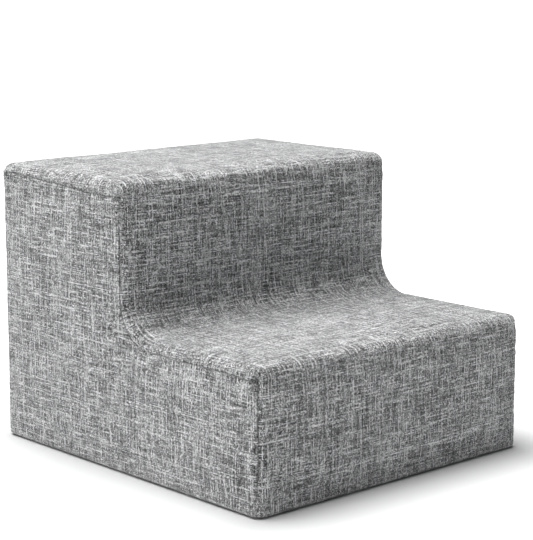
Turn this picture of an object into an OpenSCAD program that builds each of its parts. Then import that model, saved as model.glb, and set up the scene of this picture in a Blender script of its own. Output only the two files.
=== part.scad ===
// Two-step foam pet stair with a sewn, zipped cover.
// Origin on the floor at the centre of the footprint, front of the stair towards -Y, +Z up.

/* [Overall size] */
// Width across the steps
stair_w = 381; // [320:1:460]
// Depth from the front face to the back face
stair_d = 420; // [340:1:510]
// Height of the upper tread above the floor
stair_h = 305; // [250:1:370]

/* [Steps] */
// Height of the lower tread above the floor
lower_h = 148; // [120:1:180]
// Depth of the lower tread from the front face to the riser
lower_d = 202; // [165:1:245]
// Radius of every outer edge
edge_r = 12; // [9:1:16]
// Radius of the hollow where the riser meets the lower tread
cove_r = 40; // [25:1:50]

/* [Cover] */
// Thickness of the woven cover cloth and of the base cloth
cloth_t = 1.2; // [0.8:0.1:2]
// Width and depth of the line of sewing thread in a seam
thread_t = 0.6; // [0.4:0.1:0.7]

/* [Grip dots] */
// Diameter of a grip dot printed on the base cloth
dot_dia = 4; // [3:0.5:6]
// Distance from one grip dot to the next
dot_pitch = 18; // [12:1:30]
// Height of a grip dot
dot_h = 0.6; // [0.4:0.1:1]
// Least distance from a grip dot to the base seam
dot_margin = 4; // [2:1:12]

/* [Foam] */
// Thickness of the adhesive film between the two foam blocks
bond_t = 0.5; // [0.3:0.1:1]
// Distance that the adhesive film stops short of the foam's sides
bond_margin = 8; // [4:1:20]

/* [Zip] */
// Height of the zip's centre line above the floor
zip_z = 45; // [40:1:70]
// Distance from each side of the stair to the end of the coil
zip_end = 28.5; // [28:0.5:60]
// Gap between the slider and the cloth's folded lips
lip_clear = 0.35; // [0.3:0.05:1.5]
// Width of one zip tape
tape_w = 14; // [10:1:16]
// Thickness of a zip tape
tape_t = 0.6; // [0.4:0.1:0.8]
// Length of plain tape past each end of the coil
tape_tail = 8; // [5:1:12]
// Width of one row of coil
coil_w = 2.4; // [2:0.1:2.8]
// Height of a row of coil above its tape
coil_h = 2; // [1.6:0.1:2.4]
// Distance between the two rows of coil
coil_gap = 1; // [0.9:0.1:1.2]
// Length along the zip of the sewn tack at each end
tack_l = 2.5; // [2:0.5:4]
// Gap left round what the zip presses into the foam
foam_gap = 0.5; // [0.3:0.1:1]

/* [Top stitching] */
// Length of one stitch
stitch_l = 3; // [2.5:0.5:4]
// Distance from one stitch to the next
stitch_pitch = 4; // [4:0.5:6]
// Distance from the folded lip to its row of stitches
stitch_inset = 2.5; // [2:0.5:4]

/* [Slider] */
// Length of the slider along the zip
slider_l = 13; // [12:0.5:16]
// Length of the slider's flared mouth
mouth_l = 4.5; // [3.5:0.5:5]
// Length of the slider's nose
nose_l = 2; // [1.5:0.5:3]
// Distance from the slider to the end tack when the zip is closed
park_gap = 2; // [1:0.5:5]
// Thickness of each slider plate, of its side flanges and of its bridge
slider_t = 1; // [0.8:0.1:1.2]
// Gap between the slider and what runs in it
slider_gap = 0.25; // [0.2:0.05:0.3]
// Thickness of the post that joins the slider plates between the coil rows
post_t = 0.5; // [0.4:0.1:0.5]
// Length of the post along the zip
post_l = 4; // [3:0.5:5]
// Length of each foot of the bridge along the zip
bridge_foot = 2.4; // [1.5:0.1:3]
// Length of the pull tab from its pin to its tip
tab_l = 26; // [20:1:32]
// Width of the pull tab
tab_w = 6; // [5:0.5:8]
// Thickness of the pull tab
tab_t = 1.2; // [1:0.1:1.4]
// Diameter of the pull tab's pin
pin_dia = 1.4; // [1.4:0.1:1.8]

/* [Hidden] */
$fn = 64;

// The inset lines run edge_r inside the outer faces; every rounded edge is centred on one of them.
x_in = stair_w / 2 - edge_r;
y_front = -stair_d / 2 + edge_r;
y_back = stair_d / 2 - edge_r;
y_riser = -stair_d / 2 + lower_d + edge_r;
z_base = dot_h + edge_r;
z_tread = lower_h - edge_r;
z_top = stair_h - edge_r;
cove_y = -stair_d / 2 + lower_d - cove_r;
cove_z = lower_h + cove_r;

foam_r = edge_r - cloth_t;
foam_split = lower_h - cloth_t;
back_face = stair_d / 2;
tape_face = back_face - cloth_t;

zip_l = stair_w - 2 * zip_end;
coil_edge = coil_gap / 2 + coil_w;
tape_edge = coil_gap / 2 + coil_w / 4;
relief_half = tape_edge + tape_w + foam_gap;
relief_d = tape_t + slider_t + 2 * slider_gap;

slider_half = coil_edge + slider_gap + slider_t;
lip_half = slider_half + lip_clear;
slot_half = zip_l / 2 + tack_l + lip_clear;
plate_y = tape_face + coil_h + slider_gap;
inner_plate_y = tape_face - tape_t - slider_gap - slider_t;
pin_y = plate_y + slider_t + slider_gap + pin_dia / 2;
bridge_in = pin_dia / 2 + slider_gap;
bridge_half = bridge_in + bridge_foot;
slider_x = zip_l / 2 - park_gap - slider_l / 2;

cover_grey = [0.56, 0.57, 0.58];
foam_cream = [0.93, 0.90, 0.80];
thread_grey = [0.36, 0.37, 0.38];
zip_grey = [0.25, 0.26, 0.27];
metal_grey = [0.62, 0.62, 0.63];

// ---- Sweeping a section round the stair's outline ----
// A section is drawn with x across the stair and y outwards from the inset line.

// Solid section: flat across the stair, with a quarter round of radius r at each side
module solid_section(r) {
    translate([-x_in, 0]) square([2 * x_in, r]);
    for (side = [0, 1]) mirror([side, 0]) translate([x_in, 0]) intersection() {
        circle(r);
        square(r);
    }
}

// The cloth's own section, one cloth thickness deep
module cloth_section() {
    difference() {
        solid_section(edge_r);
        solid_section(foam_r);
    }
}

// The part of the cloth's section that turns one side edge; s is 1 on the right and -1 on the left
module edge_section(s) {
    intersection() {
        cloth_section();
        translate([s * (x_in + edge_r), edge_r]) square([2 * edge_r, 2 * edge_r], center = true);
    }
}

// The flat part of the cloth's section, between the two side edges
module flat_section() {
    translate([-x_in, foam_r]) square([2 * x_in, cloth_t]);
}

// Straight run of a section from (y, z), heading degrees up from +Y
module run(y, z, heading, length) {
    translate([0, y + length * cos(heading), z + length * sin(heading)])
        rotate([heading + 90, 0, 0]) linear_extrude(length) children();
}

// Quarter turn of a section about (y, z); turn 0 covers +Y to +Z, and each 90 moves it on a quarter
module bend(y, z, turn) {
    translate([0, y, z]) rotate([turn, 0, 0]) rotate([90, 0, 90])
        rotate_extrude(angle = 90) mirror([1, -1]) children();
}

// Hollow turn of a section at the foot of the riser
module cove() {
    translate([0, cove_y, cove_z]) rotate([270, 0, 0]) rotate([90, 0, 90])
        rotate_extrude(angle = 90) translate([cove_r + edge_r, 0]) rotate(90) children();
}

// Extrudes a side view, drawn as (y, z), from x to x + length
module from_x(x, length) {
    translate([x, 0, 0]) rotate([90, 0, 90]) linear_extrude(length) children();
}

// Side view of the stair, edge_r inside its outer faces
module inset_outline() {
    translate([y_front, z_base]) square([y_back - y_front, z_tread - z_base]);
    translate([y_riser, z_base]) square([y_back - y_riser, z_top - z_base]);
    difference() {
        translate([cove_y, z_tread]) square([y_riser - cove_y, cove_z - z_tread]);
        translate([cove_y, cove_z]) circle(cove_r + edge_r);
    }
}

// The front, both treads and the riser, from the base seam to the top of the back
module over_the_steps() {
    bend(y_front, z_base, 180) children();
    run(y_front, z_base, 90, z_tread - z_base) children();
    bend(y_front, z_tread, 90) children();
    run(y_front, z_tread, 0, cove_y - y_front) children();
    cove() children();
    run(y_riser, cove_z, 90, z_top - cove_z) children();
    bend(y_riser, z_top, 90) children();
    run(y_riser, z_top, 0, y_back - y_riser) children();
    bend(y_back, z_top, 0) children();
}

// ---- Foam core ----

module foam_body() {
    from_x(-x_in - foam_r, 2 * (x_in + foam_r)) inset_outline();
    over_the_steps() solid_section(foam_r);
    run(y_back, z_top, -90, z_top - z_base) solid_section(foam_r);
    bend(y_back, z_base, 270) solid_section(foam_r);
    run(y_back, z_base, 180, y_back - y_front) solid_section(foam_r);
}

module foam_base_block() {
    color(foam_cream) difference() {
        intersection() {
            foam_body();
            translate([-stair_w / 2, -stair_d / 2, 0]) cube([stair_w, stair_d, foam_split]);
        }
        // the zip presses this shallow hollow into the back of the foam
        relief_l = zip_l + 2 * tape_tail + 2 * foam_gap;
        translate([-relief_l / 2, tape_face - relief_d, zip_z - relief_half])
            cube([relief_l, 2 * relief_d, 2 * relief_half]);
    }
}

module foam_step_block() {
    color(foam_cream) intersection() {
        foam_body();
        translate([-stair_w / 2, -stair_d / 2, foam_split + bond_t])
            cube([stair_w, stair_d, stair_h]);
    }
}

module foam_bond_film() {
    film_front = -stair_d / 2 + lower_d;
    film_back = stair_d / 2 - cloth_t - bond_margin;
    film_half = stair_w / 2 - cloth_t - bond_margin;
    color("wheat") translate([-film_half, film_front, foam_split])
        cube([2 * film_half, film_back - film_front, bond_t]);
}

// ---- Seams: a line of thread set flush in the cloth where two panels meet ----

// Seam between a side panel and the tread strip
module side_seam(s) {
    half = thread_t / 2;
    ring = cove_r + edge_r;
    from_x(s > 0 ? stair_w / 2 - thread_t : -stair_w / 2, thread_t) {
        translate([y_front - half, z_base]) square([thread_t, z_tread + half - z_base]);
        translate([y_front, z_tread - half]) square([cove_y - y_front, thread_t]);
        intersection() {
            difference() {
                translate([cove_y, cove_z]) circle(ring + half);
                translate([cove_y, cove_z]) circle(ring - half);
            }
            translate([cove_y, cove_z - 2 * ring]) square(2 * ring);
        }
        translate([y_riser - half, cove_z]) square([thread_t, z_top + half - cove_z]);
        translate([y_riser, z_top - half]) square([y_back - y_riser, thread_t]);
    }
    mirror([s > 0 ? 0 : 1, 0, 0]) {
        // round the back edge, level with the upper seam
        translate([x_in, y_back, z_top]) rotate_extrude(angle = 90)
            translate([edge_r - thread_t, -half]) square(thread_t);
        // under the front edge, level with the front seam
        translate([x_in, y_front, z_base]) rotate([-90, 0, 0]) rotate_extrude(angle = 90)
            translate([edge_r - thread_t, -half]) square(thread_t);
    }
}

// Seams round the top and sides of the back panel, and on under the base edge
module back_seam() {
    half = thread_t / 2;
    translate([-x_in, back_face - thread_t, z_top - half]) cube([2 * x_in, thread_t, thread_t]);
    for (side = [0, 1]) mirror([side, 0, 0]) {
        translate([x_in - half, back_face - thread_t, z_base])
            cube([thread_t, thread_t, z_top - half - z_base]);
        translate([x_in - half, y_back, z_base]) rotate([270, 0, 0]) rotate([90, 0, 90])
            rotate_extrude(angle = 90) translate([edge_r - thread_t, 0]) square(thread_t);
    }
}

// Seam round the base panel; its corners are left to the threads that come in there
module base_seam() {
    half = thread_t / 2;
    seam_l = y_back - y_front;
    translate([0, 0, dot_h]) linear_extrude(thread_t) difference() {
        square([2 * x_in + thread_t, seam_l + thread_t], center = true);
        square([2 * x_in - thread_t, seam_l - thread_t], center = true);
        for (s = [-1, 1]) {
            translate([s * (x_in + half), y_front]) square([thread_t, 2 * thread_t], center = true);
            translate([s * x_in, y_back + half]) square([2 * thread_t, thread_t], center = true);
        }
    }
}

module seam_thread_left() { color(thread_grey) side_seam(-1); }
module seam_thread_right() { color(thread_grey) side_seam(1); }
module seam_thread_back() { color(thread_grey) back_seam(); }
module seam_thread_base() { color(thread_grey) base_seam(); }

module all_seams() {
    side_seam(-1);
    side_seam(1);
    back_seam();
    base_seam();
}

// ---- Cover panels ----

// L-shaped side panel, which turns under the base edge and round the back edge
module side_panel(s) {
    difference() {
        union() {
            from_x(s > 0 ? stair_w / 2 - cloth_t : -stair_w / 2, cloth_t) inset_outline();
            run(y_back, z_top, -90, z_top - z_base) edge_section(s);
            bend(y_back, z_base, 270) edge_section(s);
            run(y_back, z_base, 180, y_back - y_front) edge_section(s);
        }
        side_seam(s);
        back_seam();
        base_seam();
    }
}

module cover_side_left() { color(cover_grey) side_panel(-1); }
module cover_side_right() { color(cover_grey) side_panel(1); }

module cover_tread_strip() {
    color(cover_grey) difference() {
        over_the_steps() cloth_section();
        all_seams();
    }
}

// The slot between the lips, where the zip shows
module zip_slot() {
    translate([-slot_half, back_face - 2 * cloth_t, zip_z - lip_half])
        cube([2 * slot_half, 4 * cloth_t, 2 * lip_half]);
}

module cover_back_panel() {
    color(cover_grey) difference() {
        run(y_back, z_top, -90, z_top - zip_z) flat_section();
        zip_slot();
        back_seam();
    }
}

module cover_back_hem() {
    color(cover_grey) difference() {
        union() {
            run(y_back, zip_z, -90, zip_z - z_base) flat_section();
            bend(y_back, z_base, 270) flat_section();
        }
        zip_slot();
        back_seam();
        base_seam();
    }
}

module cover_base_panel() {
    across = floor((x_in - dot_margin - dot_dia / 2) / dot_pitch);
    along = floor((y_back - dot_margin - dot_dia / 2) / dot_pitch);
    color([0.20, 0.20, 0.21]) {
        difference() {
            translate([-x_in, y_front, dot_h]) cube([2 * x_in, y_back - y_front, cloth_t]);
            base_seam();
        }
        linear_extrude(dot_h) for (i = [-across : across], j = [-along : along])
            translate([i * dot_pitch, j * dot_pitch]) circle(d = dot_dia);
    }
}

// ---- Zip: the upper half is mirrored about the zip's centre line to make the lower half ----

module about_zip(s) {
    translate([0, 0, zip_z]) mirror([0, 0, s > 0 ? 0 : 1]) children();
}

module zip_tape(s) {
    about_zip(s) translate([-zip_l / 2 - tape_tail, tape_face - tape_t, tape_edge])
        cube([zip_l + 2 * tape_tail, tape_t, tape_w]);
}

module zip_tape_upper() { color(zip_grey) zip_tape(1); }
module zip_tape_lower() { color(zip_grey) zip_tape(-1); }

// One row of coil, as the closed outer shape of its turns
module zip_coil(s) {
    about_zip(s) translate([-zip_l / 2, tape_face, coil_gap / 2]) rotate([90, 0, 90])
        linear_extrude(zip_l) {
            square([coil_h - coil_w / 2, coil_w]);
            translate([coil_h - coil_w / 2, coil_w / 2]) intersection() {
                circle(d = coil_w);
                translate([0, -coil_w / 2]) square([coil_w / 2, coil_w]);
            }
        }
}

module zip_coil_upper() { color(zip_grey) zip_coil(1); }
module zip_coil_lower() { color(zip_grey) zip_coil(-1); }

module zip_stitches(s) {
    count = floor(zip_l / stitch_pitch);
    about_zip(s) translate([0, back_face, lip_half + stitch_inset])
        rotate([-90, 0, 0]) linear_extrude(thread_t / 2) for (i = [0 : count - 1])
            translate([(i - (count - 1) / 2) * stitch_pitch, 0])
                square([stitch_l, thread_t], center = true);
}

module zip_stitches_upper() { color(thread_grey) zip_stitches(1); }
module zip_stitches_lower() { color(thread_grey) zip_stitches(-1); }

module zip_end_tacks() {
    color(thread_grey) for (side = [0, 1]) mirror([side, 0, 0])
        translate([zip_l / 2, tape_face, zip_z - coil_edge]) cube([tack_l, coil_h, 2 * coil_edge]);
}

// ---- Slider and pull tab ----

// Plan of a slider plate: the mouth takes the two open rows and the nose lets the closed ones out
module slider_plan() {
    half = slider_l / 2;
    mouth = slider_half - slider_t;
    nose = slider_half - 1.8 * slider_t;
    polygon([
        [-half, mouth], [-half, -mouth], [mouth_l - half, -slider_half],
        [half - nose_l, -slider_half], [half, -nose], [half, nose],
        [half - nose_l, slider_half], [mouth_l - half, slider_half]
    ]);
}

// A plate of the slider, from y to y + slider_t
module slider_plate(y) {
    translate([slider_x, y + slider_t, zip_z]) rotate([90, 0, 0]) linear_extrude(slider_t)
        slider_plan();
}

// Side view of the bridge, centred on the pull tab's pin
module bridge_outline() {
    sill = plate_y + slider_t - pin_y;
    difference() {
        union() {
            circle(bridge_in + slider_t);
            translate([-bridge_half, sill - slider_t / 2])
                square([2 * bridge_half, slider_t / 2 - sill]);
        }
        circle(bridge_in);
        translate([-bridge_in, sill]) square([2 * bridge_in, -sill]);
    }
}

module zip_slider() {
    color(metal_grey) {
        slider_plate(plate_y);
        slider_plate(inner_plate_y);
        // side flanges that hold the coil rows together
        for (s = [-1, 1]) about_zip(s)
            translate([slider_x + mouth_l - slider_l / 2, tape_face + slider_gap, coil_edge + slider_gap])
                cube([slider_l - mouth_l - nose_l, coil_h + slider_gap, slider_t]);
        // post between the two rows, near the nose
        translate([slider_x + slider_l / 2 - nose_l - post_l, inner_plate_y, zip_z - post_t / 2])
            cube([post_l, plate_y - inner_plate_y + slider_t, post_t]);
        // bridge that holds the pull tab's pin
        translate([slider_x, pin_y, zip_z - slider_t]) linear_extrude(2 * slider_t)
            bridge_outline();
    }
}

module zip_pull_tab() {
    eye_w = 2 * slider_t + 2 * slider_gap;
    eye_l = bridge_half + 2 * slider_gap;
    tip_x = -tab_l + tab_w / 2;
    color(metal_grey) translate([slider_x, pin_y, zip_z]) {
        translate([0, 0, -tab_w / 2]) cylinder(d = pin_dia, h = tab_w);
        rotate([90, 0, 0]) translate([0, 0, -tab_t / 2]) linear_extrude(tab_t) difference() {
            union() {
                translate([tip_x, -tab_w / 2]) square([-tip_x, tab_w]);
                translate([tip_x, 0]) circle(d = tab_w);
            }
            translate([-eye_l, -eye_w / 2]) square([2 * eye_l, eye_w]);
            translate([tip_x, 0]) circle(d = tab_w / 2.5);
        }
    }
}

foam_base_block();
foam_step_block();
foam_bond_film();
cover_side_left();
cover_side_right();
cover_tread_strip();
cover_back_panel();
cover_back_hem();
cover_base_panel();
seam_thread_left();
seam_thread_right();
seam_thread_back();
seam_thread_base();
zip_tape_upper();
zip_tape_lower();
zip_coil_upper();
zip_coil_lower();
zip_stitches_upper();
zip_stitches_lower();
zip_end_tacks();
zip_slider();
zip_pull_tab();
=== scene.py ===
"""Two-step foam pet stair in a sewn, zipped cover of heathered weave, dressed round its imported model."""

import logging
import math
from dataclasses import dataclass, field
from enum import Enum
from typing import Optional, Sequence

import bmesh
import bpy
import numpy as np
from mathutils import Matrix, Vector, kdtree


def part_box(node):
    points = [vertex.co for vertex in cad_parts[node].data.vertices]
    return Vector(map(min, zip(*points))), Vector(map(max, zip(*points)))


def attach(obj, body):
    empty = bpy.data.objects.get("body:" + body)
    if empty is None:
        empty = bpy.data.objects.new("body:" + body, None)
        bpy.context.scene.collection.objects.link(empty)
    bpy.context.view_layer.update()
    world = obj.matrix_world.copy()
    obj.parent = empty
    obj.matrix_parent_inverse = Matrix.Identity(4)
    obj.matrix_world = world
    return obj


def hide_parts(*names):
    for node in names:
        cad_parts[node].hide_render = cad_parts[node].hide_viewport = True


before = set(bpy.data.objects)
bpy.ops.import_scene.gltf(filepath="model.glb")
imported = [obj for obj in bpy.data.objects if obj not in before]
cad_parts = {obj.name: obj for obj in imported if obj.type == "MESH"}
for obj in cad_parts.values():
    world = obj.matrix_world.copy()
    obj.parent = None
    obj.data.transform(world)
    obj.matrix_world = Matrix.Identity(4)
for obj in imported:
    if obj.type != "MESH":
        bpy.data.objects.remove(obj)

LOG = logging.getLogger("pet_stair")
MM = 0.001
HALF_TURN = math.pi
QUARTER_TURN = math.pi / 2
TINY = 1e-9
PROFILE_STEP = 2.8 * MM
WELD = 0.02 * MM
BAKE_MARGIN = 0.01
BAKE_WIDTH = 0.98
SEAM_SEED = 31
PUCKER_SEED = 50
SLACK_SEED = 7

Array = np.ndarray
Socket = bpy.types.NodeSocket
Object = bpy.types.Object
Node = bpy.types.Node
NodeTree = bpy.types.NodeTree
Material = bpy.types.Material


# ---- Small shapes of numbers ----


def soft_min(first: Array, second: Array, blend: float) -> Array:
    """The smaller of two values, with the crossover rounded."""
    near = np.maximum(blend - np.abs(first - second), 0.0) / blend
    return np.minimum(first, second) - near * near * blend / 4


def soft_max(first: Array, second: Array, blend: float) -> Array:
    """The larger of two values, with the crossover rounded as in soft_min."""
    return -soft_min(-np.asarray(first), -np.asarray(second), blend)


def ease(value: Array, low: float, high: float) -> Array:
    """A smooth step from 0 at low to 1 at high."""
    share = np.clip((np.asarray(value) - low) / (high - low), 0.0, 1.0)
    return share * share * (3 - 2 * share)


def graded(low: float, high: float, fine: float, coarse: float, grow: float = 1.35) -> Array:
    """Places along a line that lie close together at its ends and further apart in the middle.

    Args:
        low: The line's start.
        high: The line's end.
        fine: Spacing at the ends.
        coarse: Largest spacing.
        grow: How much each space is larger than the one before.

    Returns:
        The places, from low to high.
    """
    half, steps, step = (high - low) / 2, [0.0], fine
    while steps[-1] < half:
        steps.append(steps[-1] + step)
        step = min(step * grow, coarse)
    start = np.array(steps) * half / steps[-1]
    return np.concatenate([low + start, high - start[-2::-1]])


def smooth_noise(count: int, spacing: float, short: float, long: float, seed: int) -> Array:
    """Seeded noise along a line, with waves between a short and a long length.

    Args:
        count: Number of samples.
        spacing: Distance between samples.
        short: Shortest wave kept.
        long: Longest wave kept.
        seed: Seed of the draw.

    Returns:
        The noise, scaled to a spread of 1.
    """
    raw = np.random.default_rng(seed).normal(size=count)
    waves = np.fft.rfftfreq(count, spacing)
    keep = np.exp(-((waves * short) ** 2)) - np.exp(-((waves * long) ** 2))
    made = np.fft.irfft(np.fft.rfft(raw) * keep, count)
    return made / max(float(np.std(made)), TINY)


def rolling_waves(points: Array, length: float, seed: int, count: int = 14) -> Array:
    """Gentle seeded hills and hollows in space.

    Args:
        points: Points, one row each.
        length: Usual distance between two hills.
        seed: Seed of the draw.
        count: Number of waves added together.

    Returns:
        One value per point, with a spread of about 1.
    """
    draw = np.random.default_rng(seed)
    total = np.zeros(len(points))
    for _ in range(count):
        heading = draw.normal(size=3)
        heading *= 2 * HALF_TURN / (length * draw.uniform(0.6, 1.7)) / np.linalg.norm(heading)
        total += np.sin(points @ heading + draw.uniform(0, 2 * HALF_TURN))
    return total / math.sqrt(count / 2)


def unit(vectors: Array) -> Array:
    """Vectors brought to a length of 1, one row each."""
    return vectors / np.maximum(np.linalg.norm(vectors, axis=1), TINY)[:, None]


def run_along(path: Array) -> Array:
    """Distance along a path to each of its points."""
    return np.concatenate([[0.0], np.cumsum(np.linalg.norm(np.diff(path, axis=0), axis=1))])


def tree_of(points: Array) -> kdtree.KDTree:
    """A search tree of points."""
    tree = kdtree.KDTree(len(points))
    for k, point in enumerate(points):
        tree.insert(point, k)
    tree.balance()
    return tree


def grid_cells(rows: int, cols: int) -> Array:
    """Cells of a grid of points, rows by columns by 4 corners."""
    index = np.arange(rows * cols).reshape(rows, cols)
    return np.stack([index[:-1, :-1], index[:-1, 1:], index[1:, 1:], index[1:, :-1]], axis=-1)


def resample(path: Array, spacing: float) -> Array:
    """A path's points again, evenly spaced.

    Args:
        path: Points in order, one row each.
        spacing: Wanted distance between points.

    Returns:
        Evenly spaced points from the path's first point to its last.
    """
    along = run_along(path)
    count = max(2, int(round(along[-1] / spacing)) + 1)
    places = np.linspace(0, along[-1], count)
    return np.stack([np.interp(places, along, path[:, k]) for k in range(path.shape[1])], axis=1)


# ---- The stair's own sizes ----


@dataclass(frozen=True)
class StairSizes:
    """Outer faces and radii of the dressed stair, in metres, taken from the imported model."""

    half_width: float
    front: float
    back: float
    riser: float
    base: float
    lower_top: float
    top: float
    edge: float
    cloth: float
    cove: float = 40 * MM
    base_roll: float = 5 * MM

    @classmethod
    def from_frame(cls) -> "StairSizes":
        """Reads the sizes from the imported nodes."""
        strip_low, strip_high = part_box("cover_tread_strip")
        base_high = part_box("cover_base_panel")[1]
        back_low, back_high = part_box("cover_back_panel")
        film_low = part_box("foam_bond_film")[0]
        cloth = back_high[1] - back_low[1]
        return cls(
            half_width=strip_high[0],
            front=strip_low[1],
            back=back_high[1],
            riser=film_low[1],
            base=strip_low[2],
            lower_top=film_low[2] + cloth,
            top=strip_high[2],
            edge=strip_high[0] - base_high[0],
            cloth=cloth,
        )

    @property
    def x_in(self) -> float:
        """Half width of the flat part between the rounded side edges."""
        return self.half_width - self.edge

    @property
    def y_front(self) -> float:
        """Where the front edges are centred."""
        return self.front + self.edge

    @property
    def y_back(self) -> float:
        """Where the back edges are centred."""
        return self.back - self.edge

    @property
    def y_riser(self) -> float:
        """Where the edge over the riser is centred."""
        return self.riser + self.edge

    @property
    def z_tread(self) -> float:
        """Height at which the lower tread's edges are centred."""
        return self.lower_top - self.edge

    @property
    def z_top(self) -> float:
        """Height at which the upper tread's edges are centred."""
        return self.top - self.edge

    @property
    def cove_y(self) -> float:
        """Centre of the hollow at the foot of the riser."""
        return self.riser - self.cove

    @property
    def cove_z(self) -> float:
        """Height of that hollow's centre."""
        return self.lower_top + self.cove

    @property
    def roll_top(self) -> float:
        """Height at which the walls start to turn under the base."""
        return self.base + self.base_roll

    @property
    def hem_height(self) -> float:
        """Unrolled height of the base seam: the walls run on to it round the base roll."""
        return self.roll_top - self.base_roll * QUARTER_TURN - (self.edge - self.base_roll)


def zip_height() -> float:
    """Height of the line between the zip's two coils."""
    return (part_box("zip_coil_upper")[0][2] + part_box("zip_coil_lower")[1][2]) / 2


# ---- The rounded outer skin ----


@dataclass(frozen=True)
class SeamPlan:
    """How far the side seams lie in from the faces that they follow, in metres."""

    front_high: float = 3.2 * MM
    front_low: float = 3.8 * MM
    tread: float = 12 * MM
    riser: float = 8 * MM
    top_front: float = 18 * MM
    top_back: float = 9.5 * MM
    corner: float = 5 * MM
    wander: float = 0.35 * MM
    wander_length: float = 55 * MM
    calm_low: float = 10 * MM
    calm_high: float = 40 * MM
    front_fade: float = 60 * MM
    foot_fade: float = 25 * MM


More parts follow.
